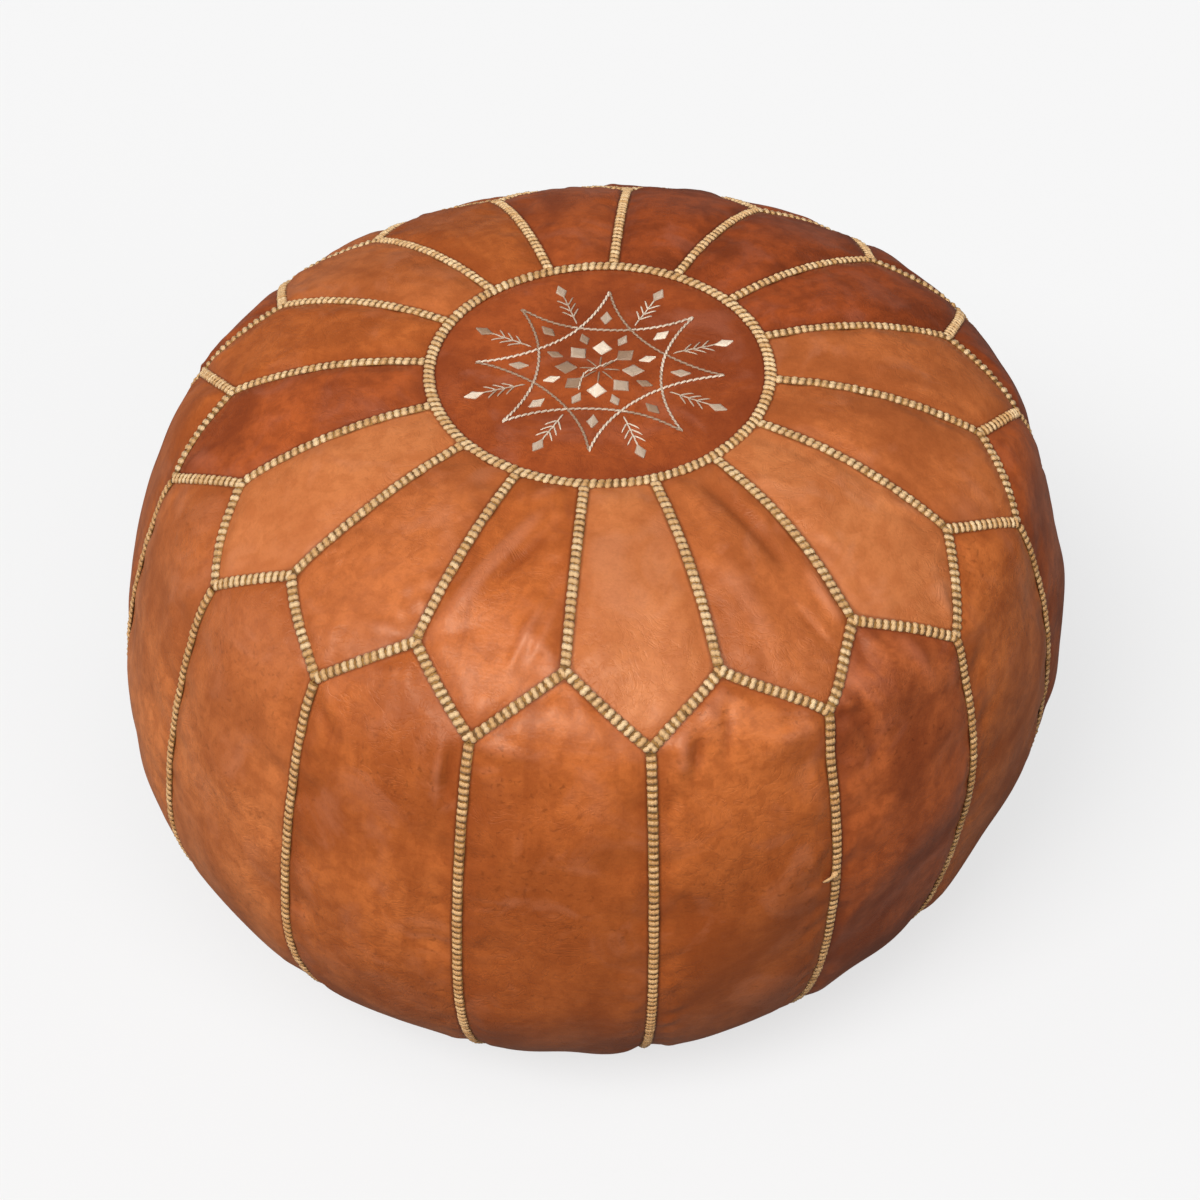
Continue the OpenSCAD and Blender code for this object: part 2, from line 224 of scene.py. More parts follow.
def near(turn, z, direction, spread, height, tall):
    """1 at a place on the skin, and less round about it."""
    return bump(turn_from(turn, math.radians(direction)), 0, math.radians(spread)) * bump(z, height, tall)


def settle(points):
    points = np.array(points, float)
    x, y, z = points[..., 0], points[..., 1], points[..., 2]
    turn, radius = np.arctan2(y, x), np.hypot(x, y)
    out, down, around = (np.zeros_like(radius) for _ in range(3))
    for *place, move in SAGS:
        out += move * MM * near(turn, z, *place)
    free = np.clip((z - FOOT_FREE) / FOOT_EASE, 0, 1)
    out *= free * free * (3 - 2 * free) * np.clip(radius / CROWN_STILL, 0, 1)
    for direction, height, move_down, move_around in NUDGES:
        here = near(turn, z, direction, NUDGE_SPREAD, height, NUDGE_TALL)
        down += move_down * MM * here
        around += move_around * MM * here
    out += down * math.cos(FALL)
    points[..., 0] += out * np.cos(turn) - around * np.sin(turn)
    points[..., 1] += out * np.sin(turn) + around * np.cos(turn)
    points[..., 2] -= down * math.sin(FALL)
    up = np.clip(z / top_z, 0, 1) ** 2
    return points + up[..., None] * CROWN_SHIFT

# %% [markdown]
# ## Meshes from grids
#
# Most soft pieces are grids: rows run from the crown down, columns run round the axis. Their
# corners are worked out with numpy, and one helper turns them into a Blender mesh with a UV map
# in metres, so that grain and stains have the same size on every piece.

# %% Mesh helpers
def grid_faces(rows, cols, wrap=False):
    faces = []
    for r in range(rows - 1):
        for c in range(cols if wrap else cols - 1):
            d = (c + 1) % cols
            faces.append((r * cols + c, (r + 1) * cols + c, (r + 1) * cols + d, r * cols + d))
    return faces


def cap_faces(pole, first, cols, flip=False):
    """Triangles from one row of a closed grid to a point."""
    pairs = [(first + c, first + (c + 1) % cols) for c in range(cols)]
    return [(pole, b, a) if flip else (pole, a, b) for a, b in pairs]


def make_object(name, points, faces, edges=()):
    mesh = bpy.data.meshes.new(name)
    mesh.from_pydata(np.asarray(points, float).reshape(-1, 3).tolist(), list(edges), list(faces))
    mesh.update()
    obj = bpy.data.objects.new(name, mesh)
    scene.collection.objects.link(obj)
    return obj


def add_uv(obj, uv, layer="hide"):
    """One UV for each vertex, in metres."""
    loops = read(obj.data.loops, "vertex_index", 1, int)
    data = obj.data.uv_layers.new(name=layer).data
    data.foreach_set("uv", np.asarray(uv, float).reshape(-1, 2)[loops].ravel())


def add_values(obj, **values):
    """Values or vectors that the vertices carry, by name."""
    for name, value in values.items():
        value = np.asarray(value, np.float32)
        is_vector = value.ndim == 2 and value.shape[1] == 3
        made = obj.data.attributes.new(name, "FLOAT_VECTOR" if is_vector else "FLOAT", "POINT")
        made.data.foreach_set("vector" if is_vector else "value", value.ravel())


def read_value(obj, name):
    return read(obj.data.attributes[name].data, "value", 1, np.float32).astype(float)


def bake(obj):
    """Puts the result of the modifiers into the object's own mesh."""
    depsgraph = bpy.context.evaluated_depsgraph_get()
    evaluated = obj.evaluated_get(depsgraph)
    mesh = bpy.data.meshes.new_from_object(evaluated, preserve_all_data_layers=True, depsgraph=depsgraph)
    old = obj.data
    obj.modifiers.clear()
    obj.data = mesh
    mesh.name = obj.name
    bpy.data.meshes.remove(old)
    return obj


def thicken(obj, thickness):
    """Gives a sheet a wall that grows inwards."""
    wall = obj.modifiers.new("Wall", "SOLIDIFY")
    wall.thickness, wall.offset = thickness, -1
    return bake(obj)


def tidy_faces(obj, *steps):
    """Runs mesh operations on an object's mesh, and then turns its faces outwards."""
    work = bmesh.new()
    work.from_mesh(obj.data)
    for step in steps:
        step(work)
    bmesh.ops.recalc_face_normals(work, faces=work.faces)
    work.to_mesh(obj.data)
    work.free()


def ripples(points, size, seed, waves=16):
    """Smooth lumps of about that size, from -1 to 1, the same ones each time."""
    rng = np.random.default_rng(seed)
    direction = rng.normal(size=(waves, 3))
    direction /= np.linalg.norm(direction, axis=1)[:, None]
    direction *= math.tau / size * rng.uniform(0.6, 1.5, (waves, 1))
    phase = rng.uniform(0, math.tau, waves)
    return np.sin(np.asarray(points) @ direction.T + phase).sum(-1) / math.sqrt(2 * waves)


def finish_piece(obj, slot, *stands_for, material=None, body="pouf"):
    """Gives a piece its material, hangs it on its body's empty and hides the CAD parts that it stands for.
    """
    if material:
        obj.data.materials.clear()
        obj.data.materials.append(material)
        obj.data.shade_smooth()
    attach(obj, body)
    if stands_for:
        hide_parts(*stands_for)
    return obj

# %% [markdown]
# ## Puffing up the skin
#
# Stuffing pushes each panel out between its seams, and the seam thread holds the leather in. The
# whole skin is one grid whose seam vertices are pinned, and Cloth inflates it. The leather is a
# little longer than the space it spans, so it also buckles into soft folds beside the seams.

# %% The skin's grid
COLS, PETAL_ROWS, SIDE_ROWS = 24, 22, 60    # columns for each panel, and rows above and below
SEAM_DIP, DIP_REACH = 1.6 * MM, 7 * MM      # the thread pulls the seams in by this, over that
LUMP_HEIGHT = 0.7 * MM
turns = np.arange(PANELS * COLS) * PITCH / COLS
zigzag_all = np.tile([zigzag_run(t) for t in turns[:COLS]], PANELS)
down_petal = np.linspace(0, 1, PETAL_ROWS + 1)[:, None]
down_side = np.linspace(0, 1, SIDE_ROWS + 1)[1:, None]
grid_run = np.vstack([ring_run + (zigzag_all - ring_run) * down_petal,
                      zigzag_all + (base_run - zigzag_all) * down_side])
grid_turn = np.tile(turns, (len(grid_run), 1))
grid_r = np.interp(grid_run, RUN, OUT_R)
in_petals = np.arange(len(grid_run))[:, None] <= PETAL_ROWS


def seam_distance(run, turn, radius, zigzag, petal_zone):
    """Distance over the leather to the nearest seam."""
    to_notch_line = radius * np.abs(turn_from(turn * PANELS, 0)) / PANELS
    to_tip_line = radius * np.abs(turn_from(turn * PANELS, math.pi)) / PANELS
    to_zigzag = np.abs(run - zigzag) * math.cos(zigzag_tilt)
    upright = np.where(petal_zone, to_notch_line, to_tip_line)
    ends = np.where(petal_zone, run - ring_run, base_run - run)
    return np.minimum(np.minimum(upright, to_zigzag), ends)


from_seam = seam_distance(grid_run, grid_turn, grid_r, zigzag_all, in_petals)
rest = skin(grid_run, grid_turn, -SEAM_DIP * bump(from_seam, 0, DIP_REACH))
lumps = ripples(rest, 45 * MM, 3) * LUMP_HEIGHT * np.clip(from_seam / (15 * MM), 0, 1)
rest += skin_normal(grid_run, grid_turn) * lumps[..., None]
pinned = from_seam < 0.1 * MM
print("skin grid", grid_run.shape, "with", int(pinned.sum()), "pinned vertices")

# %% Inflate it with Cloth
PUFF_CAP = 7 * MM


def inflate(points, faces, pins, frames=20, pressure=3.0, slack=0.006):
    """How far Cloth moves each vertex."""
    obj = make_object("skin_cloth", points, faces)
    group = obj.vertex_groups.new(name="seams")
    group.add([int(i) for i in np.flatnonzero(pins)], 1.0, "REPLACE")
    cloth = obj.modifiers.new("Cloth", "CLOTH").settings
    cloth.vertex_group_mass = "seams"
    cloth.quality = 6
    cloth.mass = 0.4
    cloth.tension_stiffness = cloth.compression_stiffness = 25
    cloth.shear_stiffness = 12
    cloth.bending_stiffness = 1.2
    cloth.use_pressure = True
    cloth.uniform_pressure_force = pressure
    cloth.shrink_min = -slack
    cloth.effector_weights.gravity = 0
    obj.modifiers["Cloth"].point_cache.frame_end = frames
    for step in range(1, frames + 1):
        scene.frame_set(step)
    moved = read(bake(obj).data.vertices, "co") - points
    bpy.data.objects.remove(obj)
    scene.frame_set(1)
    return moved


flat_rest = rest.reshape(-1, 3)
puff = inflate(flat_rest, grid_faces(*grid_run.shape, wrap=True), pinned.ravel()).reshape(rest.shape)
puff_size = np.linalg.norm(puff, axis=-1)
puff *= (np.minimum(puff_size, PUFF_CAP) / np.maximum(puff_size, 1e-9))[..., None]
puffed = rest + puff
print("puff in mm, largest and mean:", round(puff_size.max() / MM, 1), round(puff_size.mean() / MM, 1))

# %% [markdown]
# ## Building materials
#
# Each finish is a node tree built in code. Effects that several finishes share are node groups,
# built once with named inputs: the patina of a dyed hide, its grain, the dirt and painted shade
# along a seam, the twist of thread, whose grooves get painted shade, and the weave of cloth. The
# shader stays in the material itself.

# %% Node helpers
def srgb(code):
    """A colour such as c87840 as linear red, green, blue and alpha."""
    values = [int(code[i:i + 2], 16) / 255 for i in (0, 2, 4)]
    return (*[v / 12.92 if v < 0.04045 else ((v + 0.055) / 1.055) ** 2.4 for v in values], 1.0)


def shift(colour, scale, extra=(0.0, 0.0, 0.0)):
    """A colour made darker or lighter."""
    return (*[c * scale + more for c, more in zip(colour, extra)], 1.0)


def node(tree, kind, inputs=None, **settings):
    """Adds a node, and links or sets its inputs by name or number."""
    made = tree.nodes.new(kind)
    for key, value in settings.items():
        setattr(made, key, value)
    for key, value in (inputs or {}).items():
        if isinstance(value, bpy.types.NodeSocket):
            tree.links.new(value, made.inputs[key])
        else:
            made.inputs[key].default_value = value
    return made


def maths(tree, operation, a, b=0.0, clamp=False):
    return node(tree, "ShaderNodeMath", {0: a, 1: b}, operation=operation, use_clamp=clamp).outputs[0]


def times(tree, a, b):
    return maths(tree, "MULTIPLY", a, b)


def plus(tree, a, b):
    return maths(tree, "ADD", a, b)


def band(tree, value, low, high, to_low=0.0, to_high=1.0):
    """A smooth step from one value to another."""
    return node(tree, "ShaderNodeMapRange",
                {"Value": value, "From Min": low, "From Max": high, "To Min": to_low, "To Max": to_high},
                interpolation_type="SMOOTHSTEP").outputs[0]


def noise(tree, vector, size, detail=4.0, roughness=0.55, distortion=0.0):
    """Noise whose lumps are about that many metres across."""
    per_metre = maths(tree, "DIVIDE", 1.0, size) if isinstance(size, bpy.types.NodeSocket) else 1 / size
    return node(tree, "ShaderNodeTexNoise",
                {"Vector": vector, "Scale": per_metre, "Detail": detail, "Roughness": roughness,
                 "Distortion": distortion}).outputs["Fac"]


def stretch(tree, vector, scale):
    return node(tree, "ShaderNodeMapping", {"Vector": vector, "Scale": scale}).outputs[0]


def mix(tree, factor, a, b):
    return node(tree, "ShaderNodeMix", {0: factor, 6: a, 7: b}, data_type="RGBA").outputs[2]


def uv_place(tree, layer):
    return node(tree, "ShaderNodeUVMap", uv_map=layer).outputs[0]


def object_place(tree):
    return node(tree, "ShaderNodeTexCoord").outputs["Object"]


def carried(tree, name):
    """A value that the mesh carries."""
    return node(tree, "ShaderNodeAttribute", attribute_name=name).outputs["Fac"]


def new_group(name, inputs, outputs, kind="ShaderNodeTree"):
    """A node group; inputs are (name, type, value if it has one), outputs are (name, type)."""
    tree = bpy.data.node_groups.new(name, kind)
    for label, socket_type, *value in inputs:
        socket = tree.interface.new_socket(label, in_out="INPUT", socket_type=socket_type)
        if value:
            socket.default_value = value[0]
    for label, socket_type in outputs:
        tree.interface.new_socket(label, in_out="OUTPUT", socket_type=socket_type)
    return tree, tree.nodes.new("NodeGroupInput").outputs, tree.nodes.new("NodeGroupOutput").inputs


def link_outputs(tree, out, **results):
    for name, result in results.items():
        tree.links.new(result, out[name])
    return tree


def use_group(tree, group, inputs):
    return node(tree, "ShaderNodeGroup", inputs, node_tree=group).outputs


def new_material(name):
    material = bpy.data.materials.new(name)
    material.use_nodes = True
    material.node_tree.nodes.clear()
    return material, material.node_tree


def principled(tree, inputs, height=None, strength=1.0, distance=MM):
    """The shader of a material, with its inputs by name, and a bump where there is a height."""
    if height is not None:
        relief = node(tree, "ShaderNodeBump",
                      {"Strength": strength, "Distance": distance, "Height": height})
        inputs = {**inputs, "Normal": relief.outputs[0]}
    shader = node(tree, "ShaderNodeBsdfPrincipled", inputs)
    node(tree, "ShaderNodeOutputMaterial", {0: shader.outputs[0]})


FLOAT, VECTOR = "NodeSocketFloat", "NodeSocketVector"

# %% [markdown]
# ### Patina, grain, seam dirt and painted seam shade
#
# Vegetable-tanned goatskin takes its dye unevenly: broad clouds of darker dye, brush streaks and
# small dark specks. Its grain is a fine pebble with a few longer wrinkles. Where panels meet, wax
# and handling leave the leather darker, painted shade darkens it further beside the thread, a
# painted shadow line runs along the edge of the thread band, and the pull of the thread puckers it.

# %% Shared groups for leather
def patina_group():
    tree, given, out = new_group(
        "hide_patina", [("Vector", VECTOR), ("Cloud Size", FLOAT, 0.08), ("Streak Size", FLOAT, 0.03)],
        [(label, FLOAT) for label in ("Clouds", "Streaks", "Specks", "Mottle", "Bloom")])
    place = given["Vector"]
    clouds = noise(tree, place, given["Cloud Size"], 5.0, 0.6, 0.5)
    streaks = noise(tree, stretch(tree, place, (1.0, 0.22, 1.0)), given["Streak Size"], 5.0, 0.65, 0.8)
    specks = band(tree, noise(tree, place, 3.4 * MM, 2.0, 0.5, 0.6), 0.56, 0.74)
    patches = band(tree, noise(tree, place, 60 * MM, 2.0), 0.45, 0.60)
    return link_outputs(tree, out,
                        Clouds=band(tree, clouds, 0.40, 0.64),
                        Streaks=band(tree, streaks, 0.48, 0.72),
                        Specks=times(tree, specks, patches),
                        Mottle=band(tree, noise(tree, place, 9 * MM, 5.0, 0.65, 0.4), 0.40, 0.64),
                        Bloom=band(tree, noise(tree, place, 42 * MM, 4.0, 0.6, 1.0), 0.50, 0.72))


def grain_group():
    tree, given, out = new_group(
        "hide_grain", [("Vector", VECTOR), ("Pebble Size", FLOAT, 1.2 * MM)],
        [("Height", FLOAT), ("Pores", FLOAT)])
    place = given["Vector"]
    pebbles = node(tree, "ShaderNodeTexVoronoi",
                   {"Vector": place, "Scale": maths(tree, "DIVIDE", 1.0, given["Pebble Size"])},
                   feature="SMOOTH_F1").outputs["Distance"]
    fine = noise(tree, place, 0.5 * MM, 2.0)
    folds = noise(tree, place, 16 * MM, 4.0, 0.6, 1.6)
    ridge = maths(tree, "ABSOLUTE", maths(tree, "SUBTRACT", folds, 0.5))
    valley = maths(tree, "SUBTRACT", band(tree, ridge, 0.0, 0.05), 1.0)
    where = band(tree, noise(tree, place, 70 * MM, 1.0), 0.42, 0.62)
    lines = noise(tree, stretch(tree, place, (0.28, 1.0, 1.0)), 5 * MM, 4.0, 0.6, 0.8)
    wrinkle = plus(tree, times(tree, valley, where), lines)
    height = plus(tree, times(tree, pebbles, -0.35), times(tree, fine, 0.18))
    return link_outputs(tree, out,
                        Height=plus(tree, height, times(tree, wrinkle, 0.8)),
                        Pores=band(tree, pebbles, 0.35, 0.75))


def seam_dirt_and_shade_group():
    tree, given, out = new_group(
        "seam_dirt", [("Vector", VECTOR), ("Distance", FLOAT, 1.0), ("Reach", FLOAT, 9 * MM)],
        [("Dirt", FLOAT), ("Edge", FLOAT)])
    wander = times(tree, noise(tree, given["Vector"], 14 * MM, 3.0), given["Reach"])
    nearby = maths(tree, "SUBTRACT", given["Distance"], wander)
    # Near a seam the leather is darkened, partly as dirt and partly as painted shade; right along the
    # thread band's edge it gets a painted shadow line.
    return link_outputs(tree, out,
                        Dirt=band(tree, nearby, 0.0, 9 * MM, 1.0, 0.0),
                        Edge=band(tree, given["Distance"], 2.8 * MM, 4.6 * MM, 1.0, 0.0))


PATINA, GRAIN, SEAM_DIRT_AND_SHADE = patina_group(), grain_group(), seam_dirt_and_shade_group()

# %% One leather for each dye
def leather(name, light, dark, clouds, streaks, specks):
    """Dyed goatskin between two colours; the numbers say how cloudy, streaky and speckled it is."""
    material, tree = new_material(name)
    place = uv_place(tree, "hide")
    patina = use_group(tree, PATINA, {"Vector": place, "Cloud Size": 75 * MM, "Streak Size": 26 * MM})
    pebble = use_group(tree, GRAIN, {"Vector": place, "Pebble Size": 1.3 * MM})
    dirt_and_shade = use_group(tree, SEAM_DIRT_AND_SHADE,
                     {"Vector": place, "Distance": carried(tree, "from_seam"), "Reach": 8 * MM})
    light, dark = srgb(light), srgb(dark)
    deep, pale = shift(dark, 0.42), shift(light, 0.90, (0.06, 0.06, 0.06))
    bright = shift(light, 1.25, (0.06, 0.045, 0.02))
    tone, fold = carried(tree, "tone"), carried(tree, "fold")
    colour = light
    for strength, tint in (
            # the panel's grade from top to bottom: uneven dye with painted highlight and painted shade
            (maths(tree, "MULTIPLY", tone, 1.0, clamp=True), bright),
            (maths(tree, "MULTIPLY", tone, -1.0, clamp=True), dark),
            (times(tree, patina["Clouds"], clouds), dark),
            (times(tree, patina["Streaks"], streaks), dark),
            (times(tree, patina["Mottle"], 0.42), dark),
            (times(tree, patina["Bloom"], 0.34), pale),
            # painted highlight on the fold ridges and painted shade in the fold valleys
            (band(tree, fold, 0.2 * MM, 2.2 * MM, 0.0, 0.5), pale),
            (band(tree, fold, -0.2 * MM, -1.8 * MM, 0.0, 0.6), dark),
            (times(tree, patina["Specks"], specks), deep),
            (times(tree, pebble["Pores"], 0.10), deep),
            # dirt and painted shade beside the seams, then a painted shadow line along the thread band's
            # edge
            (times(tree, dirt_and_shade["Dirt"], 0.30), dark),
            (times(tree, dirt_and_shade["Edge"], 0.72), deep)):
        colour = mix(tree, strength, colour, tint)
    dull = plus(tree, times(tree, patina["Clouds"], 0.10), 0.37)
    principled(tree, {"Base Color": colour, "Roughness": dull, "Specular IOR Level": 0.42,
                      "Specular Tint": srgb("ffe2c8")}, pebble["Height"], 0.35, 0.6 * MM)
    return material


DYES = {    # light and dark colour, then how cloudy, streaky and speckled the hide is
    "honey": ("cd7b47", "ac5b2c", 0.50, 0.30, 0.20),
    "tan": ("c66f3a", "994c21", 0.60, 0.40, 0.40),
    "amber": ("c26830", "924419", 0.70, 0.50, 0.50),
    "rust": ("b45828", "7c3516", 0.75, 0.50, 0.60),
    "russet": ("a94e22", "6e2d11", 0.75, 0.50, 0.50),
}
SPECKLED = {"petal": 0.25, "side": 0.8}     # the petals are cut from the cleaner part of a hide
LEATHERS = {(dye, use): leather(f"{dye}_{use}_leather", *look, specks * SPECKLED[use])
            for dye, (*look, specks) in DYES.items() for use in SPECKLED}
print(len(LEATHERS), "leathers:", ", ".join(DYES))

# %% [markdown]
# ## Cutting the panels
#
# The puffed skin is cut into its thirty-two pieces along the pinned seams. Each is smoothed once,
# given its own small creases, and then a wall by Solidify, which grows inwards so that the
# outside stays where the stuffing put it. No two hides are alike, so each panel has its own dye.

# %% Folds pressed into the leather
WALL = 1.8 * MM
HABITS = {"soft": 0.6, "lined": 1.0, "gathered": 1.5}    # how strongly a hide creases
FOLD_RISE = 1.45
FOLDS = {   # both ends as (across, down) from the middle of the panel's upper edge, width, height, in mm
    "petal_12": [((-28, 106), (4, 24), 5.0, 1.9), ((-10, 78), (12, 35), 4.0, -1.4),
                 ((12, 118), (20, 78), 2.8, 1.1), ((22, 114), (27, 82), 2.5, 0.8),
                 ((-6, 20), (8, 4), 4.0, 1.0)],
    "petal_14": [((4, 8), (16, 80), 5.5, -2.0), ((26, 82), (33, 116), 4.0, 1.4),
                 ((8, 96), (22, 130), 3.2, -0.8), ((-14, 60), (-8, 120), 6.0, 0.9)],
    "side_panel_12": [((33, 44), (35, 84), 2.8, 1.1), ((38, 42), (40, 78), 2.5, -1.1),
                      ((-40, 50), (-24, 66), 4.0, -0.9)],
    "side_panel_14": [((-9, 6), (-13, 30), 4.5, 1.6), ((-2, 16), (-10, 56), 2.8, -1.1),
                      ((-27, 30), (-33, 58), 4.0, 1.4), ((-20, 32), (-26, 60), 2.6, -1.2),
                      ((43, 37), (20, 35), 2.8, 1.2), ((44, 43), (16, 43), 2.6, -1.0)],
    "side_panel_15": [((-30, 26), (-22, 90), 5.0, -1.2), ((14, 14), (22, 60), 5.0, 1.0)],
}
# Each grade is partly uneven dye in the hide and partly painted highlight and painted shade, standing in
# for the light falling unevenly down the panel.
TONES = {   # how much lighter or darker a hide is at the panel's top, and 14 cm further down
    "side_panel_10": (-0.55, 0.80), "side_panel_11": (-0.65, 0.55), "side_panel_12": (0.00, 0.15),
    "side_panel_13": (0.30, -0.40), "side_panel_14": (0.65, -0.30), "side_panel_15": (1.00, 0.15),
    "side_panel_16": (0.30, 0.30), "side_panel_01": (0.10, 0.35),
    "petal_12": (-0.25, 0.25), "petal_14": (-0.30, 0.10),
}
TONE_REACH = 0.14


def corner_folds(seed, corners, strength):
    """Short random folds that fan out from the corners of a panel, where the thread pulls."""
    rng = np.random.default_rng(1000 + seed)
    made = []
    for across, down, toward in corners:
        for _ in range(4):
            angle = math.radians(toward + rng.uniform(-48, 48))
            first, last = rng.uniform(3, 7), rng.uniform(18, 40)
            ends = [(across + d * math.cos(angle), down + d * math.sin(angle)) for d in (first, last)]
            width, sign = rng.uniform(2.6, 4.2), rng.choice([-1, 1])
            made.append((*ends, width, sign * rng.uniform(0.25, 0.6) * strength))
    return made


def fold_height(across, down, folds):
    """The height that all the folds add at each point; everything in metres but the folds."""
    total = np.zeros_like(across)
    for start, end, width, height in folds:
        start, step = np.array(start) * MM, (np.array(end) - np.array(start)) * MM
        part = np.clip(((across - start[0]) * step[0] + (down - start[1]) * step[1]) / (step @ step), 0, 1)
        away = np.hypot(across - start[0] - part * step[0], down - start[1] - part * step[1])
        faded = np.sqrt(np.sin(math.pi * np.clip(part, 0.02, 0.98)))
        total += FOLD_RISE * height * MM * bump(away, 0, width * MM) * faded
    return total


DENT_SIZE, DENT_DEPTH = 70 * MM, 1.1 * MM
PUCKER_SIZE, PUCKER_DEPTH = 14 * MM, 0.5 * MM
HELD = 2 * MM           # the stitches hold the leather still this far from a seam


def crease(obj, seed, strength, folds):
    """Presses folds and shallow dents into a panel, and puckers it along its seams."""
    vertices = obj.data.vertices
    points, outward = read(vertices, "co"), read(vertices, "normal")
    distance = read_value(obj, "from_seam")
    dents = ripples(points, DENT_SIZE, seed) * DENT_DEPTH * np.clip((distance - HELD) / (9 * MM), 0, 1)
    pucker = ripples(points, PUCKER_SIZE, seed + 1) * PUCKER_DEPTH * strength
    pucker *= bump(distance, 10 * MM, 7 * MM)
    pressed = fold_height(read_value(obj, "across"), read_value(obj, "down"), folds) \
        * np.clip((distance - HELD) / (4 * MM), 0, 1)
    vertices.foreach_set("co", (points + outward * (dents + pucker + pressed)[:, None]).ravel())
    obj.data.update()
    # The fold heights also drive the leather's painted highlight on ridges and painted shade in valleys.
    add_values(obj, fold=pressed)
    for name in ("across", "down"):
        obj.data.attributes.remove(obj.data.attributes[name])

# %% Panel helpers
def cut_panel(name, rows, first_col, seed, strength, corners):
    """One piece of leather, from the puffed skin between two rows and COLS + 1 columns."""
    cols = np.arange(first_col, first_col + COLS + 1)
    at = cols % puffed.shape[1]
    points = settle(puffed[rows][:, at])
    run, radius, distance = grid_run[rows][:, at], grid_r[rows][:, at], from_seam[rows][:, at]
    across = (cols * PITCH / COLS - cols.mean() * PITCH / COLS)[None, :] * radius
    down = run - run.min()
    top_tone, low_tone = TONES.get(name, (0.0, 0.0))
    obj = make_object(name + "_leather", points, grid_faces(*points.shape[:2]))
    add_uv(obj, np.stack([across + seed * 0.731, run + seed * 0.417], -1))
    add_values(obj, from_seam=distance, across=across, down=down,
               tone=top_tone + (low_tone - top_tone) * np.clip(down / TONE_REACH, 0, 1))
    obj.modifiers.new("Smooth", "SUBSURF").levels = 1
    bake(obj)
    crease(obj, seed, strength, FOLDS.get(name, []) + corner_folds(seed, corners, strength))
    return thicken(obj, WALL)


def cut_panels(names, hides, use, rows, first_col, first_seed, corners):
    for i, (name, hide) in enumerate(zip(names, hides)):
        dye, habit = hide.split()
        panel = cut_panel(name, rows, first_col + i * COLS, first_seed + i, HABITS[habit], corners)
        finish_piece(panel, f"{use}_leather", name, material=LEATHERS[dye, use])
    print(len(names), use, "panels,", len(panel.data.polygons), "faces each")

# %% Petals
PETAL_HIDES = ["tan soft", "russet soft", "russet lined", "russet soft",
               "rust lined", "amber lined", "tan soft", "amber soft",
               "rust soft", "honey soft", "tan gathered", "amber lined",
               "honey soft", "tan lined", "honey gathered", "tan soft"]
NOTCH_DOWN, TIP_DOWN = (notch_run - ring_run) / MM, (tip_run - ring_run) / MM
NOTCH_ACROSS = radius_at(notch_run) * PITCH / 2 / MM
PETAL_CORNERS = [(-NOTCH_ACROSS, NOTCH_DOWN, -35), (NOTCH_ACROSS, NOTCH_DOWN, -145), (0, TIP_DOWN, -90)]
cut_panels(PETALS, PETAL_HIDES, "petal", slice(0, PETAL_ROWS + 1), 0, 1, PETAL_CORNERS)

# %% Side panels
SIDE_HIDES = ["rust soft", "russet soft", "russet soft", "rust soft",
              "rust lined", "amber soft", "tan soft", "rust lined",
              "amber soft", "tan soft", "tan soft", "amber lined",
              "amber lined", "amber gathered", "rust lined", "amber soft"]
TIP_ACROSS, TIP_BELOW = radius_at(tip_run) * PITCH / 2 / MM, TIP_DOWN - NOTCH_DOWN
SIDE_CORNERS = [(0, 0, 90), (-TIP_ACROSS, TIP_BELOW, 40), (TIP_ACROSS, TIP_BELOW, 140)]
cut_panels(SIDES, SIDE_HIDES, "side", slice(PETAL_ROWS, None), -COLS // 2, 31, SIDE_CORNERS)

# %% [markdown]
# ### The medallion
#
# The medallion is a disc cut from a redder hide. It is held down by the ring of stitches, and
# the embroidery draws it into slight hollows, so it is a polar grid with a little relief.

# %% Medallion
MEDALLION_RINGS, MEDALLION_SPOKES = 40, 128


def crown_relief(points, from_ring):
    """Slight hollows in the medallion, which its embroidery follows."""
    return ripples(points, 55 * MM, 71) * 0.5 * MM * np.clip(from_ring / (12 * MM), 0, 1)


disc_run = np.linspace(1.5 * MM, ring_run, MEDALLION_RINGS)[:, None] * np.ones(MEDALLION_SPOKES)
disc_turn = np.tile(np.arange(MEDALLION_SPOKES) * math.tau / MEDALLION_SPOKES, (MEDALLION_RINGS, 1))
from_ring = ring_run - disc_run
disc = skin(disc_run, disc_turn, -SEAM_DIP * bump(from_ring, 0, DIP_REACH))
disc[..., 2] += crown_relief(disc, from_ring)
disc = settle(disc)
disc_points = np.vstack([disc.reshape(-1, 3), disc[0].mean(0)])
medallion = make_object("medallion_leather_disc", disc_points,
                        grid_faces(MEDALLION_RINGS, MEDALLION_SPOKES, wrap=True)
                        + cap_faces(disc_run.size, 0, MEDALLION_SPOKES))
add_uv(medallion, disc_points[:, :2] + 3.1)
add_values(medallion, from_seam=np.append(from_ring.ravel(), ring_run))
medallion.modifiers.new("Smooth", "SUBSURF").levels = 1
finish_piece(thicken(medallion, WALL), "medallion_leather", "medallion",
             material=leather("medallion_hide", "ab5225", "803617", 0.75, 0.35, 0.2))
print("medallion", len(medallion.data.polygons), "faces")

# %% [markdown]
# ## Whip stitches
#
# The seams are whipped over with waxed gold thread, about four millimetres from one wrap to the
# next. Each wrap is a few strands side by side, pulled into soft lumps. Geometry Nodes lays one
# small wrap along every seam, turned to the seam and to the leather, with a little unevenness.

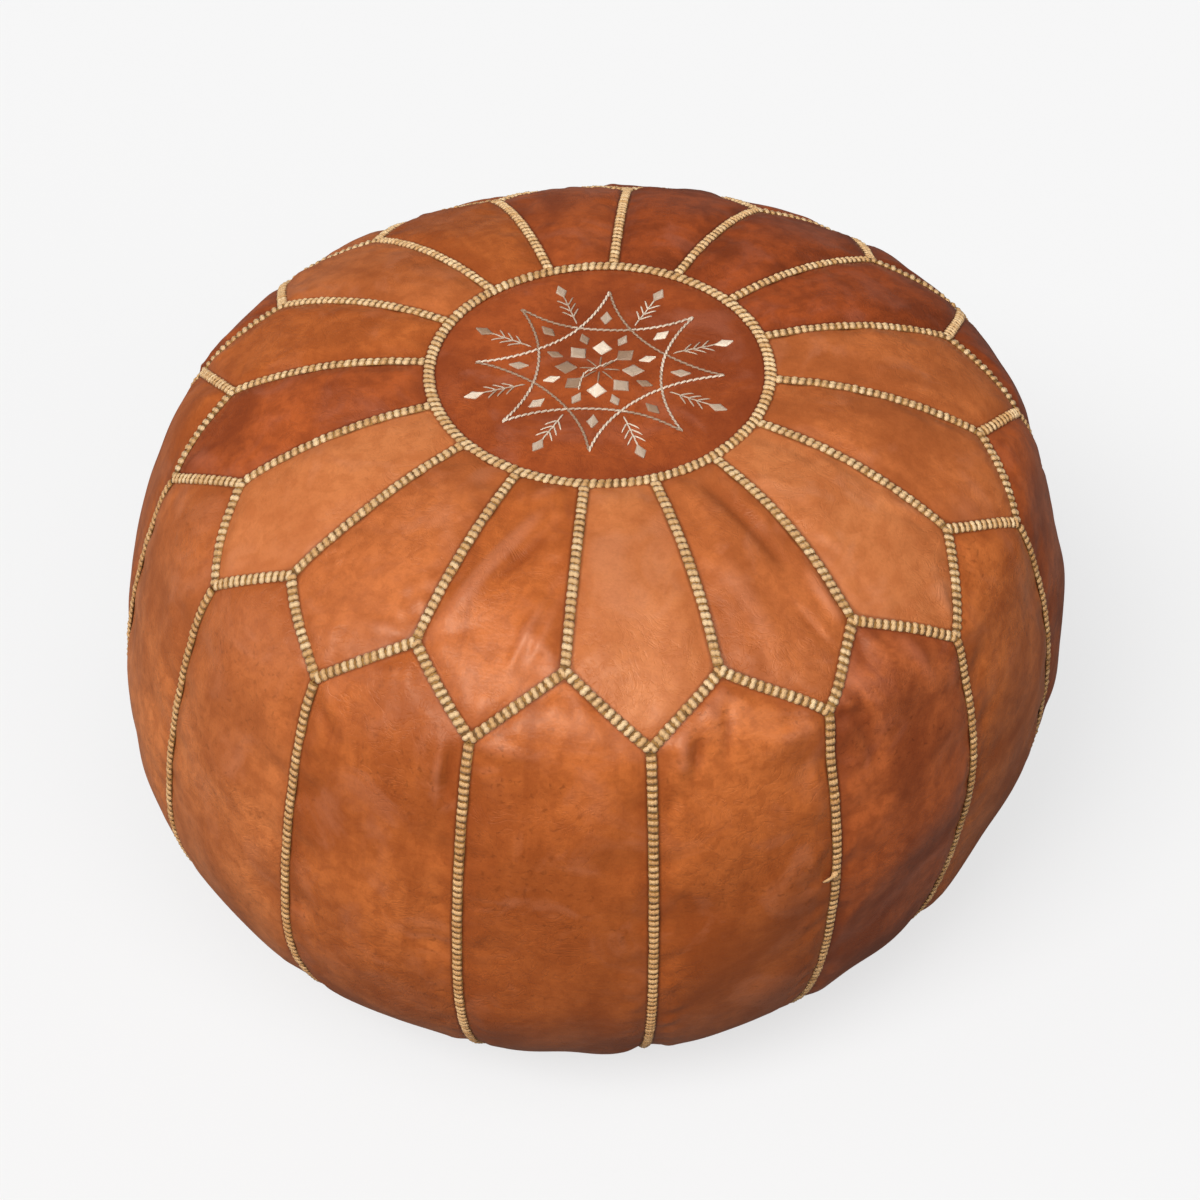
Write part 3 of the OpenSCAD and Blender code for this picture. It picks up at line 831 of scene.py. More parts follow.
# %% One wrap of thread
def tube_object(name, points, along):
    """A closed tube from rings of points, with a UV that runs along the thread and round it."""
    stations, sides = points.shape[:2]
    faces = [(r + c, r + (c + 1) % sides, r + sides + (c + 1) % sides, r + sides + c)
             for r in range(0, (stations - 1) * sides, sides) for c in range(sides)]
    ends = [tuple(range(sides - 1, -1, -1)), tuple(range((stations - 1) * sides, stations * sides))]
    obj = make_object(name, points, faces + ends)
    tidy_faces(obj)
    around = np.tile(np.arange(sides) / sides, stations)
    add_uv(obj, np.stack([np.repeat(along, sides), around], -1), "thread")
    obj.data.shade_smooth()
    return obj


def wrap_mesh(name, width, length, height, lumps, slant, stations=11, sides=5):
    """A closed bar of thread across X whose strands swell into lumps, flat where it sits."""
    across = np.linspace(-1, 1, stations)
    angle = (np.arange(sides) / sides + 0.25) * math.tau
    swell = np.abs(np.sin((across + 1) * lumps * math.pi / 2))
    wide, tall = 0.74 + 0.26 * swell, 0.62 + 0.38 * swell
    wide[[0, -1]], tall[[0, -1]] = 0.5, 0.4
    arch = height * (0.55 - 0.45 * across ** 2)
    x = 0.5 * length * wide[:, None] * np.cos(angle) + math.tan(slant) * 0.5 * width * across[:, None]
    y = np.broadcast_to(0.5 * width * across[:, None], x.shape)
    z = arch[:, None] + 0.5 * height * tall[:, None] * np.sin(angle)
    return tube_object(name, np.stack([x, y, z], -1), across * 0.5 + 0.5)


def bed_mesh(name, width, length, height):
    """A dark strip under the wraps: the crossing threads and leather edge between two wraps, with painted
    shade in the gaps.
    """
    across = np.linspace(-1, 1, 5)
    top = np.stack([np.tile([[-0.5 * length], [0.5 * length]], (1, 5)),
                    np.tile(0.5 * width * across, (2, 1)),
                    np.tile(height * (1 - across ** 2), (2, 1))], -1)
    return make_object(name, top, [tuple(reversed(f)) for f in grid_faces(2, 5)])

# %% Helpers for Geometry Nodes
GEOMETRY, OBJECT, MATERIAL = "NodeSocketGeometry", "NodeSocketObject", "NodeSocketMaterial"


def named(tree, name, kind="FLOAT_VECTOR"):
    """A value that the points carry."""
    return node(tree, "GeometryNodeInputNamedAttribute", {"Name": name},
                data_type=kind).outputs["Attribute"]


def marked(tree, instances, name, value, kind):
    return node(tree, "GeometryNodeStoreNamedAttribute",
                {"Geometry": instances, "Name": name, "Value": value},
                data_type=kind, domain="INSTANCE").outputs[0]


def facing(tree, up, along):
    """A turn that stands Z on the leather and lays X along the thread."""
    return node(tree, "FunctionNodeAxesToRotation", {"Primary Axis": up, "Secondary Axis": along},
                primary_axis="Z", secondary_axis="X").outputs[0]


def copies(tree, points, pattern, turn, size=(1.0, 1.0, 1.0)):
    """The pattern on each point, turned and scaled."""
    shape = node(tree, "GeometryNodeObjectInfo", {"Object": pattern}).outputs["Geometry"]
    return node(tree, "GeometryNodeInstanceOnPoints",
                {"Points": points, "Instance": shape, "Rotation": turn, "Scale": size}).outputs[0]


def uneven(tree, low, high, seed):
    """Three random numbers for each point."""
    return node(tree, "FunctionNodeRandomValue", {"Min": low, "Max": high, "Seed": seed},
                data_type="FLOAT_VECTOR").outputs[0]


def real(tree, instances):
    return node(tree, "GeometryNodeRealizeInstances", {"Geometry": instances}).outputs[0]


def painted(tree, geometry, material, **selection):
    return node(tree, "GeometryNodeSetMaterial",
                {"Geometry": geometry, "Material": material, **selection}).outputs[0]


def run_tree(obj, tree, values):
    """Runs a tree on an object with its inputs set by name, and keeps the result as a mesh."""
    modifier = obj.modifiers.new(tree.name, "NODES")
    modifier.node_group = tree
    identifiers = {item.name: item.identifier for item in tree.interface.items_tree
                   if item.item_type == "SOCKET" and item.in_out == "INPUT"}
    for label, value in values.items():
        modifier[identifiers[label]] = value
    return bake(obj)

# %% The stitching tree
def stitching_tree():
    """Wraps and their bed along every line of the input mesh."""
    tree, given, out = new_group(
        "whip_stitching",
        [("Seam Lines", GEOMETRY), ("Pitch", FLOAT), ("Wobble", FLOAT), ("Seed", "NodeSocketInt"),
         ("Wrap", OBJECT), ("Bed", OBJECT), ("Thread", MATERIAL), ("Shade", MATERIAL)],
        [("Stitches", GEOMETRY)], "GeometryNodeTree")
    curve = node(tree, "GeometryNodeMeshToCurve", {"Mesh": given["Seam Lines"]}).outputs[0]
    line = node(tree, "GeometryNodeResampleCurve", {"Curve": curve, "Length": given["Pitch"]},
                mode="LENGTH").outputs[0]
    straight = facing(tree, named(tree, "up"), node(tree, "GeometryNodeInputTangent").outputs[0])
    lean = uneven(tree, (-0.05, -0.08, -1.0), (0.05, 0.08, 1.0), given["Seed"])
    lean = node(tree, "ShaderNodeVectorMath", {0: lean, "Scale": given["Wobble"]},
                operation="SCALE").outputs[0]
    lean = node(tree, "FunctionNodeEulerToRotation", {0: lean}).outputs[0]
    leaning = node(tree, "FunctionNodeRotateRotation", {0: straight, 1: lean},
                   rotation_space="LOCAL").outputs[0]
    size = uneven(tree, (0.88, 0.92, 0.85), (1.10, 1.06, 1.12), given["Seed"])
    tone = node(tree, "FunctionNodeRandomValue", {"Seed": given["Seed"]}, data_type="FLOAT").outputs[1]
    wraps = marked(tree, copies(tree, line, given["Wrap"], leaning, size), "tone", tone, "FLOAT")
    beds = marked(tree, copies(tree, line, given["Bed"], straight), "is_bed", True, "BOOLEAN")
    joined = tree.nodes.new("GeometryNodeJoinGeometry")
    for part in (beds, wraps):
        tree.links.new(part, joined.inputs[0])
    threaded = painted(tree, real(tree, joined.outputs[0]), given["Thread"])
    return link_outputs(tree, out, Stitches=painted(tree, threaded, given["Shade"],
                                                    Selection=named(tree, "is_bed", "BOOLEAN")))


STITCHING = stitching_tree()
print("stitching tree has", len(STITCHING.nodes), "nodes")

# %% Thread materials
def twist_group():
    """Fine strands along the thread, from its own UV map: X along it, Y round it; Valley marks the
    grooves, darkened as painted shade.
    """
    tree, given, out = new_group("thread_twist", [("Vector", VECTOR), ("Strands", FLOAT, 6.0)],
                                 [("Height", FLOAT), ("Valley", FLOAT)])
    parts = node(tree, "ShaderNodeSeparateXYZ", {0: given["Vector"]}).outputs
    lean = plus(tree, parts[1], times(tree, parts[0], 0.5))
    wave = maths(tree, "SINE", times(tree, times(tree, lean, given["Strands"]), math.tau))
    height = band(tree, wave, -1.0, 1.0)
    return link_outputs(tree, out, Height=height, Valley=band(tree, height, 0.0, 0.5, 1.0, 0.0))


TWIST = twist_group()


def thread(name, light, dark, rough=0.5, strands=6.0, valley=0.3):
    material, tree = new_material(name)
    twist = use_group(tree, TWIST, {"Vector": uv_place(tree, "thread"), "Strands": strands})
    soil = band(tree, noise(tree, object_place(tree), 25 * MM, 3.0), 0.45, 0.7)
    light, dark = srgb(light), srgb(dark)
    colour = mix(tree, carried(tree, "tone"), dark, light)
    colour = mix(tree, times(tree, soil, 0.35), colour, dark)
    # painted shade in the grooves between the strands
    colour = mix(tree, times(tree, twist["Valley"], valley), colour, shift(dark, 0.45))
    principled(tree, {"Base Color": colour, "Roughness": rough, "Sheen Weight": 0.15},
               twist["Height"], 0.5, 0.15 * MM)
    return material


def shade_material():
    material, tree = new_material("stitch_shade")
    patchy = band(tree, noise(tree, object_place(tree), 5 * MM, 2.0), 0.4, 0.6)
    principled(tree, {"Base Color": mix(tree, patchy, srgb("6e4b1e"), srgb("9a6f34")), "Roughness": 0.8})
    return material


GOLD_THREAD = thread("gold_thread", "f2d09e", "d09f63")
# A darker copy of the gold thread for the side seams, the base seam and the knot: painted shade where less
# light reaches the sides.
SHADED_GOLD_THREAD = thread("browned_gold_thread", "dfb37b", "bf894d")    # soiled, on the sides
SHADE = shade_material()

# %% Patterns for the stitches
BAND_W = 2 * (radii_of("medallion_stitching").max() - ring_run)     # width of a thread band
BAND_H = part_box("medallion_stitching")[1].z - top_z                 # how far it stands proud
STITCH_PITCH, WOBBLE = 4.0 * MM, 0.12
WRAP_H = 0.95 * BAND_H
WRAPS = {   # width as a share of the band, length along the seam in mm, lumps, slant in degrees
    "ring": (1.00, 3.6, 2, 14), "zigzag": (0.94, 3.4, 2, 4),
    "seam": (0.84, 3.7, 2, 8), "side": (0.82, 3.6, 3, 5),
}
wraps = {name: wrap_mesh(name + "_wrap", BAND_W * share, length * MM, WRAP_H, lumps, math.radians(slant))
         for name, (share, length, lumps, slant) in WRAPS.items()}
bed = bed_mesh("stitch_bed", 0.86 * BAND_W, 1.3 * STITCH_PITCH, 0.45 * BAND_H)


def sew(name, legs, cad_node, wrap, seed, thread_material, lift=-SEAM_DIP + 0.5 * MM):
    """Lays wraps along legs of (runs, turns), and lets the result stand for the CAD band."""
    points, ups, edges = [], [], []
    for runs, angles in legs:
        start = len(points)
        points.extend(settle(skin(runs, angles, lift)))
        ups.extend(skin_normal(runs, angles))
        edges.extend((start + k, start + k + 1) for k in range(len(runs) - 1))
    obj = make_object(name, points, (), edges)
    add_values(obj, up=ups)
    run_tree(obj, STITCHING, {"Pitch": STITCH_PITCH, "Wobble": WOBBLE, "Seed": seed, "Wrap": wraps[wrap],
                              "Bed": bed, "Thread": thread_material, "Shade": SHADE})
    finish_piece(obj, "gold_thread", cad_node)
    print(name, len(legs), "legs,", sum(len(p.vertices) - 2 for p in obj.data.polygons), "triangles")

# %% Sew the five seams
JUNCTION = BAND_W / 2 + 1.5 * MM      # bands that meet another stop this far from its middle
LEG_POINTS, SIDE_POINTS, RING_POINTS = 40, 160, 257
all_round = np.linspace(0, math.tau, RING_POINTS)
down_petals = np.linspace(ring_run + JUNCTION, notch_run - JUNCTION, LEG_POINTS)
down_sides = np.linspace(tip_run + JUNCTION, base_run - JUNCTION, SIDE_POINTS)
zigzag_turns = [np.linspace(i, i + 1, LEG_POINTS)[1:-1] * PITCH / 2 for i in range(2 * PANELS)]
sew("ring_stitches", [(np.full(RING_POINTS, ring_run), all_round)],
    "medallion_stitching", "ring", 11, GOLD_THREAD)
sew("petal_stitches", [(down_petals, np.full(LEG_POINTS, i * PITCH)) for i in range(PANELS)],
    "petal_stitching", "seam", 12, GOLD_THREAD)
sew("zigzag_stitches", [(np.array([zigzag_run(a) for a in angles]), angles) for angles in zigzag_turns],
    "zigzag_stitching", "zigzag", 13, GOLD_THREAD)
sew("side_stitches", [(down_sides, np.full(SIDE_POINTS, (i + 0.5) * PITCH)) for i in range(PANELS)],
    "side_stitching", "side", 14, SHADED_GOLD_THREAD)
sew("base_stitches", [(np.full(RING_POINTS, base_run), all_round)],
    "base_stitching", "side", 15, SHADED_GOLD_THREAD)

# %% [markdown]
# ### A tied-off thread
#
# Where a length of thread ran out, the sewer knotted it on the seam and left a short tail. It is
# a tube along a few points of the skin, thick at the knot and thin at the frayed end.

# %% Knot on the side seam
def thread_tube(name, path, radii, sides=7):
    """A closed tube along points on the skin, with its own radius at each."""
    path, radii = np.asarray(path, float), np.asarray(radii, float)[:, None, None]
    along = np.gradient(path, axis=0)
    along /= np.linalg.norm(along, axis=1)[:, None]
    across = np.cross(along, [0.0, 0.0, 1.0])
    across /= np.linalg.norm(across, axis=1)[:, None]
    angle = (np.arange(sides) * math.tau / sides)[None, :, None]
    ring = np.cos(angle) * across[:, None] + np.sin(angle) * np.cross(across, along)[:, None]
    obj = tube_object(name, path[:, None] + radii * ring, np.cumsum(np.full(len(path), 0.12)))
    add_values(obj, tone=np.full(len(path) * sides, 0.8))
    return obj


KNOT_TURN, KNOT_HEIGHT = (13 + 0.5) * PITCH, 0.189
KNOT_RADII = np.array([0.5, 1.3, 1.7, 1.5, 0.9, 0.75, 0.75, 0.7, 0.6, 0.35]) * MM
KNOT_ENDS = [("seam_knot_a", 4.5, 7.0, 1.0), ("seam_knot_b", 6.5, 4.0, 0.75)]    # mm down and back, size
knot_run = run_at_height(KNOT_HEIGHT)
step = np.linspace(-0.15, 1, len(KNOT_RADII))
for k, (name, down, back, thickness) in enumerate(KNOT_ENDS):
    at_run = knot_run + down * MM * step
    at_turn = KNOT_TURN - (2.2 + back * step) * MM / float(OUT_R.max())
    lift = BAND_H * (0.9 - 0.5 * step) + 0.6 * MM * np.sin(4 * step + k)
    knot = thread_tube(name, settle(skin(at_run, at_turn, lift)), KNOT_RADII * thickness)
    finish_piece(knot, "gold_thread", material=SHADED_GOLD_THREAD)
print("knot tied at height", KNOT_HEIGHT)

# %% [markdown]
# ## Embroidery
#
# The medallion is worked in shiny thread: two crossed stars with hollow sides in stem stitch,
# diamonds in satin stitch, and sprigs of single long stitches. A satin diamond is a row of
# parallel threads whose lengths follow its outline. All of it is one kind of stitch, laid by
# points that each know their direction, length and tone.

# %% The embroidery tree
def embroidery_tree():
    """One stitch on every point, turned to the leather and along its own direction."""
    tree, given, out = new_group(
        "hand_embroidery",
        [("Stitch Points", GEOMETRY), ("Thread Width", FLOAT), ("Stitch", OBJECT), ("Thread", MATERIAL)],
        [("Stitches", GEOMETRY)], "GeometryNodeTree")
    width = given["Thread Width"]
    size = node(tree, "ShaderNodeCombineXYZ",
                {0: named(tree, "reach", "FLOAT"), 1: width, 2: width}).outputs[0]
    points = node(tree, "GeometryNodeMeshToPoints", {"Mesh": given["Stitch Points"]}).outputs[0]
    turn = facing(tree, named(tree, "up"), named(tree, "along"))
    laid = copies(tree, points, given["Stitch"], turn, size)
    return link_outputs(tree, out, Stitches=painted(tree, real(tree, laid), given["Thread"]))


EMBROIDERY = embroidery_tree()
CREAM_THREAD = thread("cream_thread", "f8e4cb", "8f6a4c", rough=0.36, strands=3.0, valley=0.22)


def stitch_mesh(name, stations=7, sides=6):
    """One stitch, a metre long and wide, that dives into the leather at both ends."""
    along = np.linspace(-1, 1, stations)
    angle = np.arange(sides) * math.tau / sides
    girth = 0.5 * (1 - 0.72 * np.abs(along) ** 6)
    x = np.broadcast_to(0.5 * along[:, None], (stations, sides))
    y = girth[:, None] * np.cos(angle)
    z = girth[:, None] * np.sin(angle) * 0.8 + (0.3 - 0.5 * along[:, None] ** 4)
    return tube_object(name, np.stack([x, y, z], -1), along * 0.5 + 0.5)


STITCH = stitch_mesh("single_stitch")


def lay_stitches(name, points, width, thread_material, slot, *stands_for, **values):
    """Stitches on points, which carry up, along, reach and tone."""
    obj = make_object(name, points, ())
    add_values(obj, **values)
    run_tree(obj, EMBROIDERY, {"Thread Width": width, "Stitch": STITCH, "Thread": thread_material})
    print(name, len(points), "stitches")
    return finish_piece(obj, slot, *stands_for)

# %% Stitch patterns, as (start, end, tone) in millimetres on the crown
def polar(radius, degrees):
    return np.array([radius * math.cos(math.radians(degrees)), radius * math.sin(math.radians(degrees))])


def stem_stitch(path, tones, step=3.6, lean=0.42):
    """Short stitches that overlap along a path, each leaning a little across it."""
    path = np.asarray(path)
    along = np.concatenate([[0], np.cumsum(np.hypot(*np.diff(path, axis=0).T))])
    count = int(along[-1] / step)
    made = []
    for k in range(count):
        a, b = (np.array([np.interp(min(d * along[-1] / count, along[-1]), along, path[:, axis])
                          for axis in (0, 1)]) for d in (k, k + 1.25))
        side = np.array([a[1] - b[1], b[0] - a[0]]) / max(np.hypot(*(b - a)), 1e-6) * lean
        made.append((a - side, b + side, tones[int(k * len(tones) / count)]))
    return made


def satin_diamond(radius, degrees, reach, half, tone, gap=0.62):
    """Threads laid across a diamond, side by side."""
    middle, out = polar(radius, degrees), polar(1, degrees)
    side = np.array([-out[1], out[0]])
    made = []
    for t in np.arange(-reach + gap * 0.6, reach, gap):
        w = half * (1 - abs(t) / reach) + 0.25
        made.append((middle + out * t - side * w, middle + out * t + side * w, tone))
    return made


def star_side(star_r, start_degrees):
    """A hollow side of a star: the arc from one point to the next, a quarter turn on."""
    reach = 1.25 * star_r
    centre = polar(reach * math.sqrt(2), start_degrees + 45)
    ends = [polar(star_r, start_degrees) - centre, polar(star_r, start_degrees + 90) - centre]
    radius = np.hypot(*ends[0])
    first, last = (math.atan2(e[1], e[0]) for e in ends)
    last = first + turn_from(last, first)
    return [centre + radius * np.array([math.cos(a), math.sin(a)]) for a in np.linspace(first, last, 40)]


def embroider(name, stitches, cad_node, width=0.95 * MM, lift=0.1 * MM):
    """Lays stitches on the settled crown."""
    start, end = (np.array([s[k] for s in stitches]) * MM for k in (0, 1))
    middle, span = (start + end) / 2, end - start
    run = np.hypot(middle[:, 0], middle[:, 1])
    turn = np.arctan2(middle[:, 1], middle[:, 0])
    points = skin(run, turn, lift)
    points[:, 2] += crown_relief(points, ring_run - run)
    lay_stitches(name, settle(points), width, CREAM_THREAD, "cream_thread", cad_node,
                 up=skin_normal(run, turn), along=np.column_stack([span, np.zeros(len(span))]),
                 reach=np.hypot(span[:, 0], span[:, 1]), tone=[s[2] for s in stitches])

# %% Sizes and tones of the pattern
DIAMOND, SMALL_DIAMOND, LARGE_DIAMOND = (5.4, 3.2), (4.8, 2.8), (5.8, 5.5)    # reach and half width
STAR_R = radii_of("embroidered_star").max() / MM - 0.5
SPRIG_R = radii_of("embroidered_sprigs").max() / MM - DIAMOND[0]
POINT_R = radii_of("embroidered_points").max() / MM - DIAMOND[0]
ROSETTE_OUTER_R = radii_of("embroidered_rosette").max() / MM - SMALL_DIAMOND[0]
ROSETTE_R = radii_of("embroidered_rosette").min() / MM + LARGE_DIAMOND[0]
ROSETTE_SPOKE = (2, 11)                 # where the thread between two rosette diamonds runs
ROSETTE_CURL = [(10, 10), (1, 3), (-8, -4), (-9, -9), (-10, -18)]
STEM, BARBS_AT, BARB_L, BARB_LEAN = (29, 4), (23, 18, 13), 8, 38     # in from the sprig's diamond
BRIGHT, CREAM, GREY, BRONZE = 1.0, 0.8, 0.42, 0.12
STAR_TONES = {0: [BRONZE], 90: [CREAM], 180: [BRONZE], 270: [CREAM],
              45: [CREAM, GREY, BRONZE], 135: [BRONZE, GREY, CREAM],
              225: [CREAM, GREY, BRONZE], 315: [GREY, CREAM]}
POINT_TONES = [GREY, BRIGHT, GREY, BRONZE, GREY, BRIGHT, GREY, BRONZE]
ROSETTE_TONES = [GREY, BRONZE, BRIGHT, GREY, BRONZE, BRONZE, BRIGHT, GREY]
SMALL_TONES = [BRIGHT, GREY, BRONZE, BRONZE, BRIGHT, GREY, GREY, BRONZE]
SPRIG_TONES = [(GREY, BRIGHT), (CREAM, GREY), (GREY, GREY), (GREY, BRONZE),
               (GREY, BRIGHT), (CREAM, GREY), (CREAM, GREY), (GREY, GREY)]

# %% Work the pattern
star, points, rosette, sprigs = [], [], [], []
for degrees, tones in STAR_TONES.items():
    star += stem_stitch(star_side(STAR_R, degrees), tones)
for k, (stem_tone, end_tone) in enumerate(SPRIG_TONES):
    on, between = 45 * k, 45 * k + 22.5
    points += satin_diamond(POINT_R, on, *DIAMOND, POINT_TONES[k])
    rosette += satin_diamond(ROSETTE_R, on, *LARGE_DIAMOND, ROSETTE_TONES[k])
    rosette += satin_diamond(ROSETTE_OUTER_R, between, *SMALL_DIAMOND, SMALL_TONES[k])
    rosette.append((*(polar(r, on) for r in ROSETTE_SPOKE), BRONZE))
    stem = [polar(SPRIG_R - back, between) for back in STEM]
    sprigs += stem_stitch(stem, [stem_tone], step=5.5, lean=0.1)
    sprigs += satin_diamond(SPRIG_R, between, *DIAMOND, end_tone)
    for back in BARBS_AT:
        root = polar(SPRIG_R - back, between)
        for lean in (-BARB_LEAN, BARB_LEAN):
            sprigs.append((root, root + polar(BARB_L, between + lean), stem_tone))
rosette += stem_stitch(ROSETTE_CURL, [CREAM], step=3.4)
embroider("star_lines", star, "embroidered_star", width=1.4 * MM)
embroider("star_diamonds", points, "embroidered_points")
embroider("rosette", rosette, "embroidered_rosette")
embroider("sprigs", sprigs, "embroidered_sprigs")

# %% [markdown]
# ## The base and its zip
#
# The base is two half discs with a closed zip between them. Each half is a grid that runs from
# the zip's slot out to the base seam, and takes its height from the same outline. Their hems are
# held by a line of running stitch, and a small tab closes each end of the slot.

# %% Base leather
BASE_R = radius_at(base_run)
SLOT_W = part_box("base_panel_left")[0].y
SLOT_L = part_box("zip_end_tab_back")[0].x
TAB_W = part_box("zip_end_tab_back")[1].y
BASE_WALL = 1.5 * MM
HEM, HEM_REACH = 0.5 * MM, 5 * MM       # the hem is drawn up off the floor by this, over that
FLOOR_GAP = 0.1 * MM


def base_piece(cad_node, x, y, hem_distance, seed, mirror):
    """A grid of base leather from its plan, taking its height from the outline."""
    run = run_under_belly(np.hypot(x, y))
    distance = np.minimum(base_run - run, 0.5)
    points = skin(run, np.arctan2(y, x), -SEAM_DIP * bump(distance, 0, DIP_REACH))
    points[..., 2] += HEM * bump(hem_distance, 0, HEM_REACH) + FLOOR_GAP
    points[..., 2] += (ripples(points, 60 * MM, seed) + 1) * 0.12 * MM
    faces = grid_faces(*x.shape)
    if mirror:
        faces = [tuple(reversed(f)) for f in faces]
    obj = make_object(cad_node + "_leather", points, faces)
    add_uv(obj, np.stack([x + seed * 0.3, y], -1))
    # The hem's edge is darkened like a seam: dirt with painted shade, and the painted shadow line along
    # it.
    add_values(obj, from_seam=np.minimum(distance, hem_distance + 2.5 * MM))
    finish_piece(thicken(obj, BASE_WALL), "base_leather", cad_node, material=BASE_LEATHER)


BASE_LEATHER = leather("base_hide", "b96a38", "84431f", 0.6, 0.35, 0.3)
widest = math.acos(SLOT_W / BASE_R) - 0.004
fan = np.linspace(-widest, widest, 97)
out = np.linspace(0, 1, 41)[:, None]
for side, cad_node in ((1, "base_panel_left"), (-1, "base_panel_right")):
    x = np.tile(BASE_R * np.sin(fan), (len(out), 1))
    y = side * (SLOT_W + (BASE_R * np.cos(fan) - SLOT_W) * out)
    base_piece(cad_node, x, y, np.abs(y) - SLOT_W, 91 + side, mirror=side < 0)
across = np.linspace(-TAB_W, TAB_W, 13)
for side, cad_node in ((1, "zip_end_tab_back"), (-1, "zip_end_tab_front")):
    x = side * (SLOT_L + (np.sqrt(BASE_R ** 2 - across ** 2) - SLOT_L) * out[::2])
    y = np.tile(across, (len(x), 1))
    from_hem = np.minimum(TAB_W - np.abs(y), np.abs(x) - SLOT_L)
    base_piece(cad_node, x, y, from_hem, 95 + side, mirror=side > 0)

# %% Running stitch along the hems
HEM_STITCH, HEM_PITCH, FROM_HEM = 3.1 * MM, 4.2 * MM, 3.2 * MM
hem_points = np.array([(x, side * (SLOT_W + FROM_HEM), HEM + FLOOR_GAP) for side in (-1, 1)
                       for x in np.arange(-SLOT_L, SLOT_L + 1 * MM, HEM_PITCH)])
count = len(hem_points)
lay_stitches("hem_running_stitch", hem_points, 0.7 * MM, GOLD_THREAD, "gold_thread",
             up=np.tile([0, 0, -1.0], (count, 1)), along=np.tile([1.0, 0.06, 0], (count, 1)),
             reach=np.full(count, HEM_STITCH), tone=np.linspace(0.2, 0.8, count))

# %% [markdown]
# ### Zip hardware
#
# The teeth, stops and tapes are right as the CAD model has them, so they only get finishes. The
# slider, the pull and the folded facings are copied, cleaned and given small rounded edges, which
# is what catches the light on cast brass and on a fold of leather.

# %% Brass and woven tape
def weave_group():
    tree, given, out = new_group("plain_weave", [("Vector", VECTOR), ("Thread Size", FLOAT, 0.6 * MM)],
                                 [("Height", FLOAT), ("Over", FLOAT)])
    parts = node(tree, "ShaderNodeSeparateXYZ", {0: given["Vector"]}).outputs
    turns_per_metre = maths(tree, "DIVIDE", math.pi, given["Thread Size"])
    waves = [maths(tree, "SINE", times(tree, parts[k], turns_per_metre)) for k in (0, 1)]
    over = times(tree, *waves)
    return link_outputs(tree, out, Over=band(tree, over, -1.0, 1.0), Height=maths(tree, "ABSOLUTE", over))


WEAVE = weave_group()


def cloth(name, light, dark, thread_size):
    material, tree = new_material(name)
    place = object_place(tree)
    weave = use_group(tree, WEAVE, {"Vector": place, "Thread Size": thread_size})
    stain = band(tree, noise(tree, place, 40 * MM, 4.0), 0.4, 0.65)
    colour = mix(tree, weave["Over"], srgb(dark), srgb(light))
    colour = mix(tree, times(tree, stain, 0.35), colour, srgb(dark))
    principled(tree, {"Base Color": colour, "Roughness": 0.85, "Sheen Weight": 0.2},
               weave["Height"], 0.6, 0.2 * MM)
    return material


def brass_material():
    material, tree = new_material("antique_brass")
    place = object_place(tree)
    tarnish = band(tree, noise(tree, place, 6 * MM, 5.0), 0.42, 0.66)
    scratch = noise(tree, stretch(tree, place, (0.15, 1.0, 1.0)), 0.4 * MM, 2.0)
    principled(tree, {"Base Color": mix(tree, tarnish, srgb("c9a04e"), srgb("7d5a2a")), "Metallic": 1.0,
                      "Roughness": plus(tree, times(tree, tarnish, 0.2), 0.28)},
               scratch, 0.15, 0.1 * MM)
    return material


BRASS = brass_material()
TAPE = cloth("zip_tape_weave", "4a2a17", "2c180c", 0.7 * MM)
COTTON = cloth("cotton_weave", "e2d6bc", "b9a988", 1.1 * MM)

# %% Finish the zip
def paint_cad(node_name, material):
    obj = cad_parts[node_name]
    if not obj.material_slots:
        obj.data.materials.append(None)
    for slot in obj.material_slots:
        slot.link = "OBJECT"
        slot.material = material


def merge_triangles(work):
    bmesh.ops.remove_doubles(work, verts=work.verts, dist=0.001 * MM)
    bmesh.ops.dissolve_limit(work, angle_limit=math.radians(1), verts=work.verts, edges=work.edges)


def rounded_copy(name, cad_node, material, slot, body="pouf", edge=0.2 * MM):
    """A copy of a CAD node with its triangles merged and its edges rounded."""
    obj = make_object(name, points_of(cad_node),
                      [tuple(p.vertices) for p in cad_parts[cad_node].data.polygons])
    tidy_faces(obj, merge_triangles)
    rounding = obj.modifiers.new("Edges", "BEVEL")
    rounding.width, rounding.segments, rounding.limit_method = edge, 3, "ANGLE"
    rounding.angle_limit = math.radians(35)
    points = read(bake(obj).data.vertices, "co")
    add_uv(obj, points[:, :2] + 1.7)
    add_values(obj, from_seam=np.full(len(points), 0.05))
    finish_piece(obj, slot, cad_node, material=material, body=body)


for cad_node in ("zip_teeth_left", "zip_teeth_right", "zip_stops"):
    paint_cad(cad_node, BRASS)
for cad_node in ("zip_tape_left", "zip_tape_right"):
    paint_cad(cad_node, TAPE)
rounded_copy("zip_slider_cast", "zip_slider", BRASS, "zip_brass", body="slider")
rounded_copy("zip_pull_cast", "zip_pull", BRASS, "zip_brass", body="pull", edge=0.25 * MM)
for side in ("left", "right"):
    facing_node = f"zip_facing_{side}"
    rounded_copy(facing_node + "_fold", facing_node, BASE_LEATHER, "base_leather", edge=1.2 * MM)
print("zip finished")

# %% [markdown]
# ## The inside
#
# Under the leather is a cotton lining in three parts, and then the wadding. They follow the
# settled skin, a few millimetres inside it, so that nothing shows through where it has sunk.

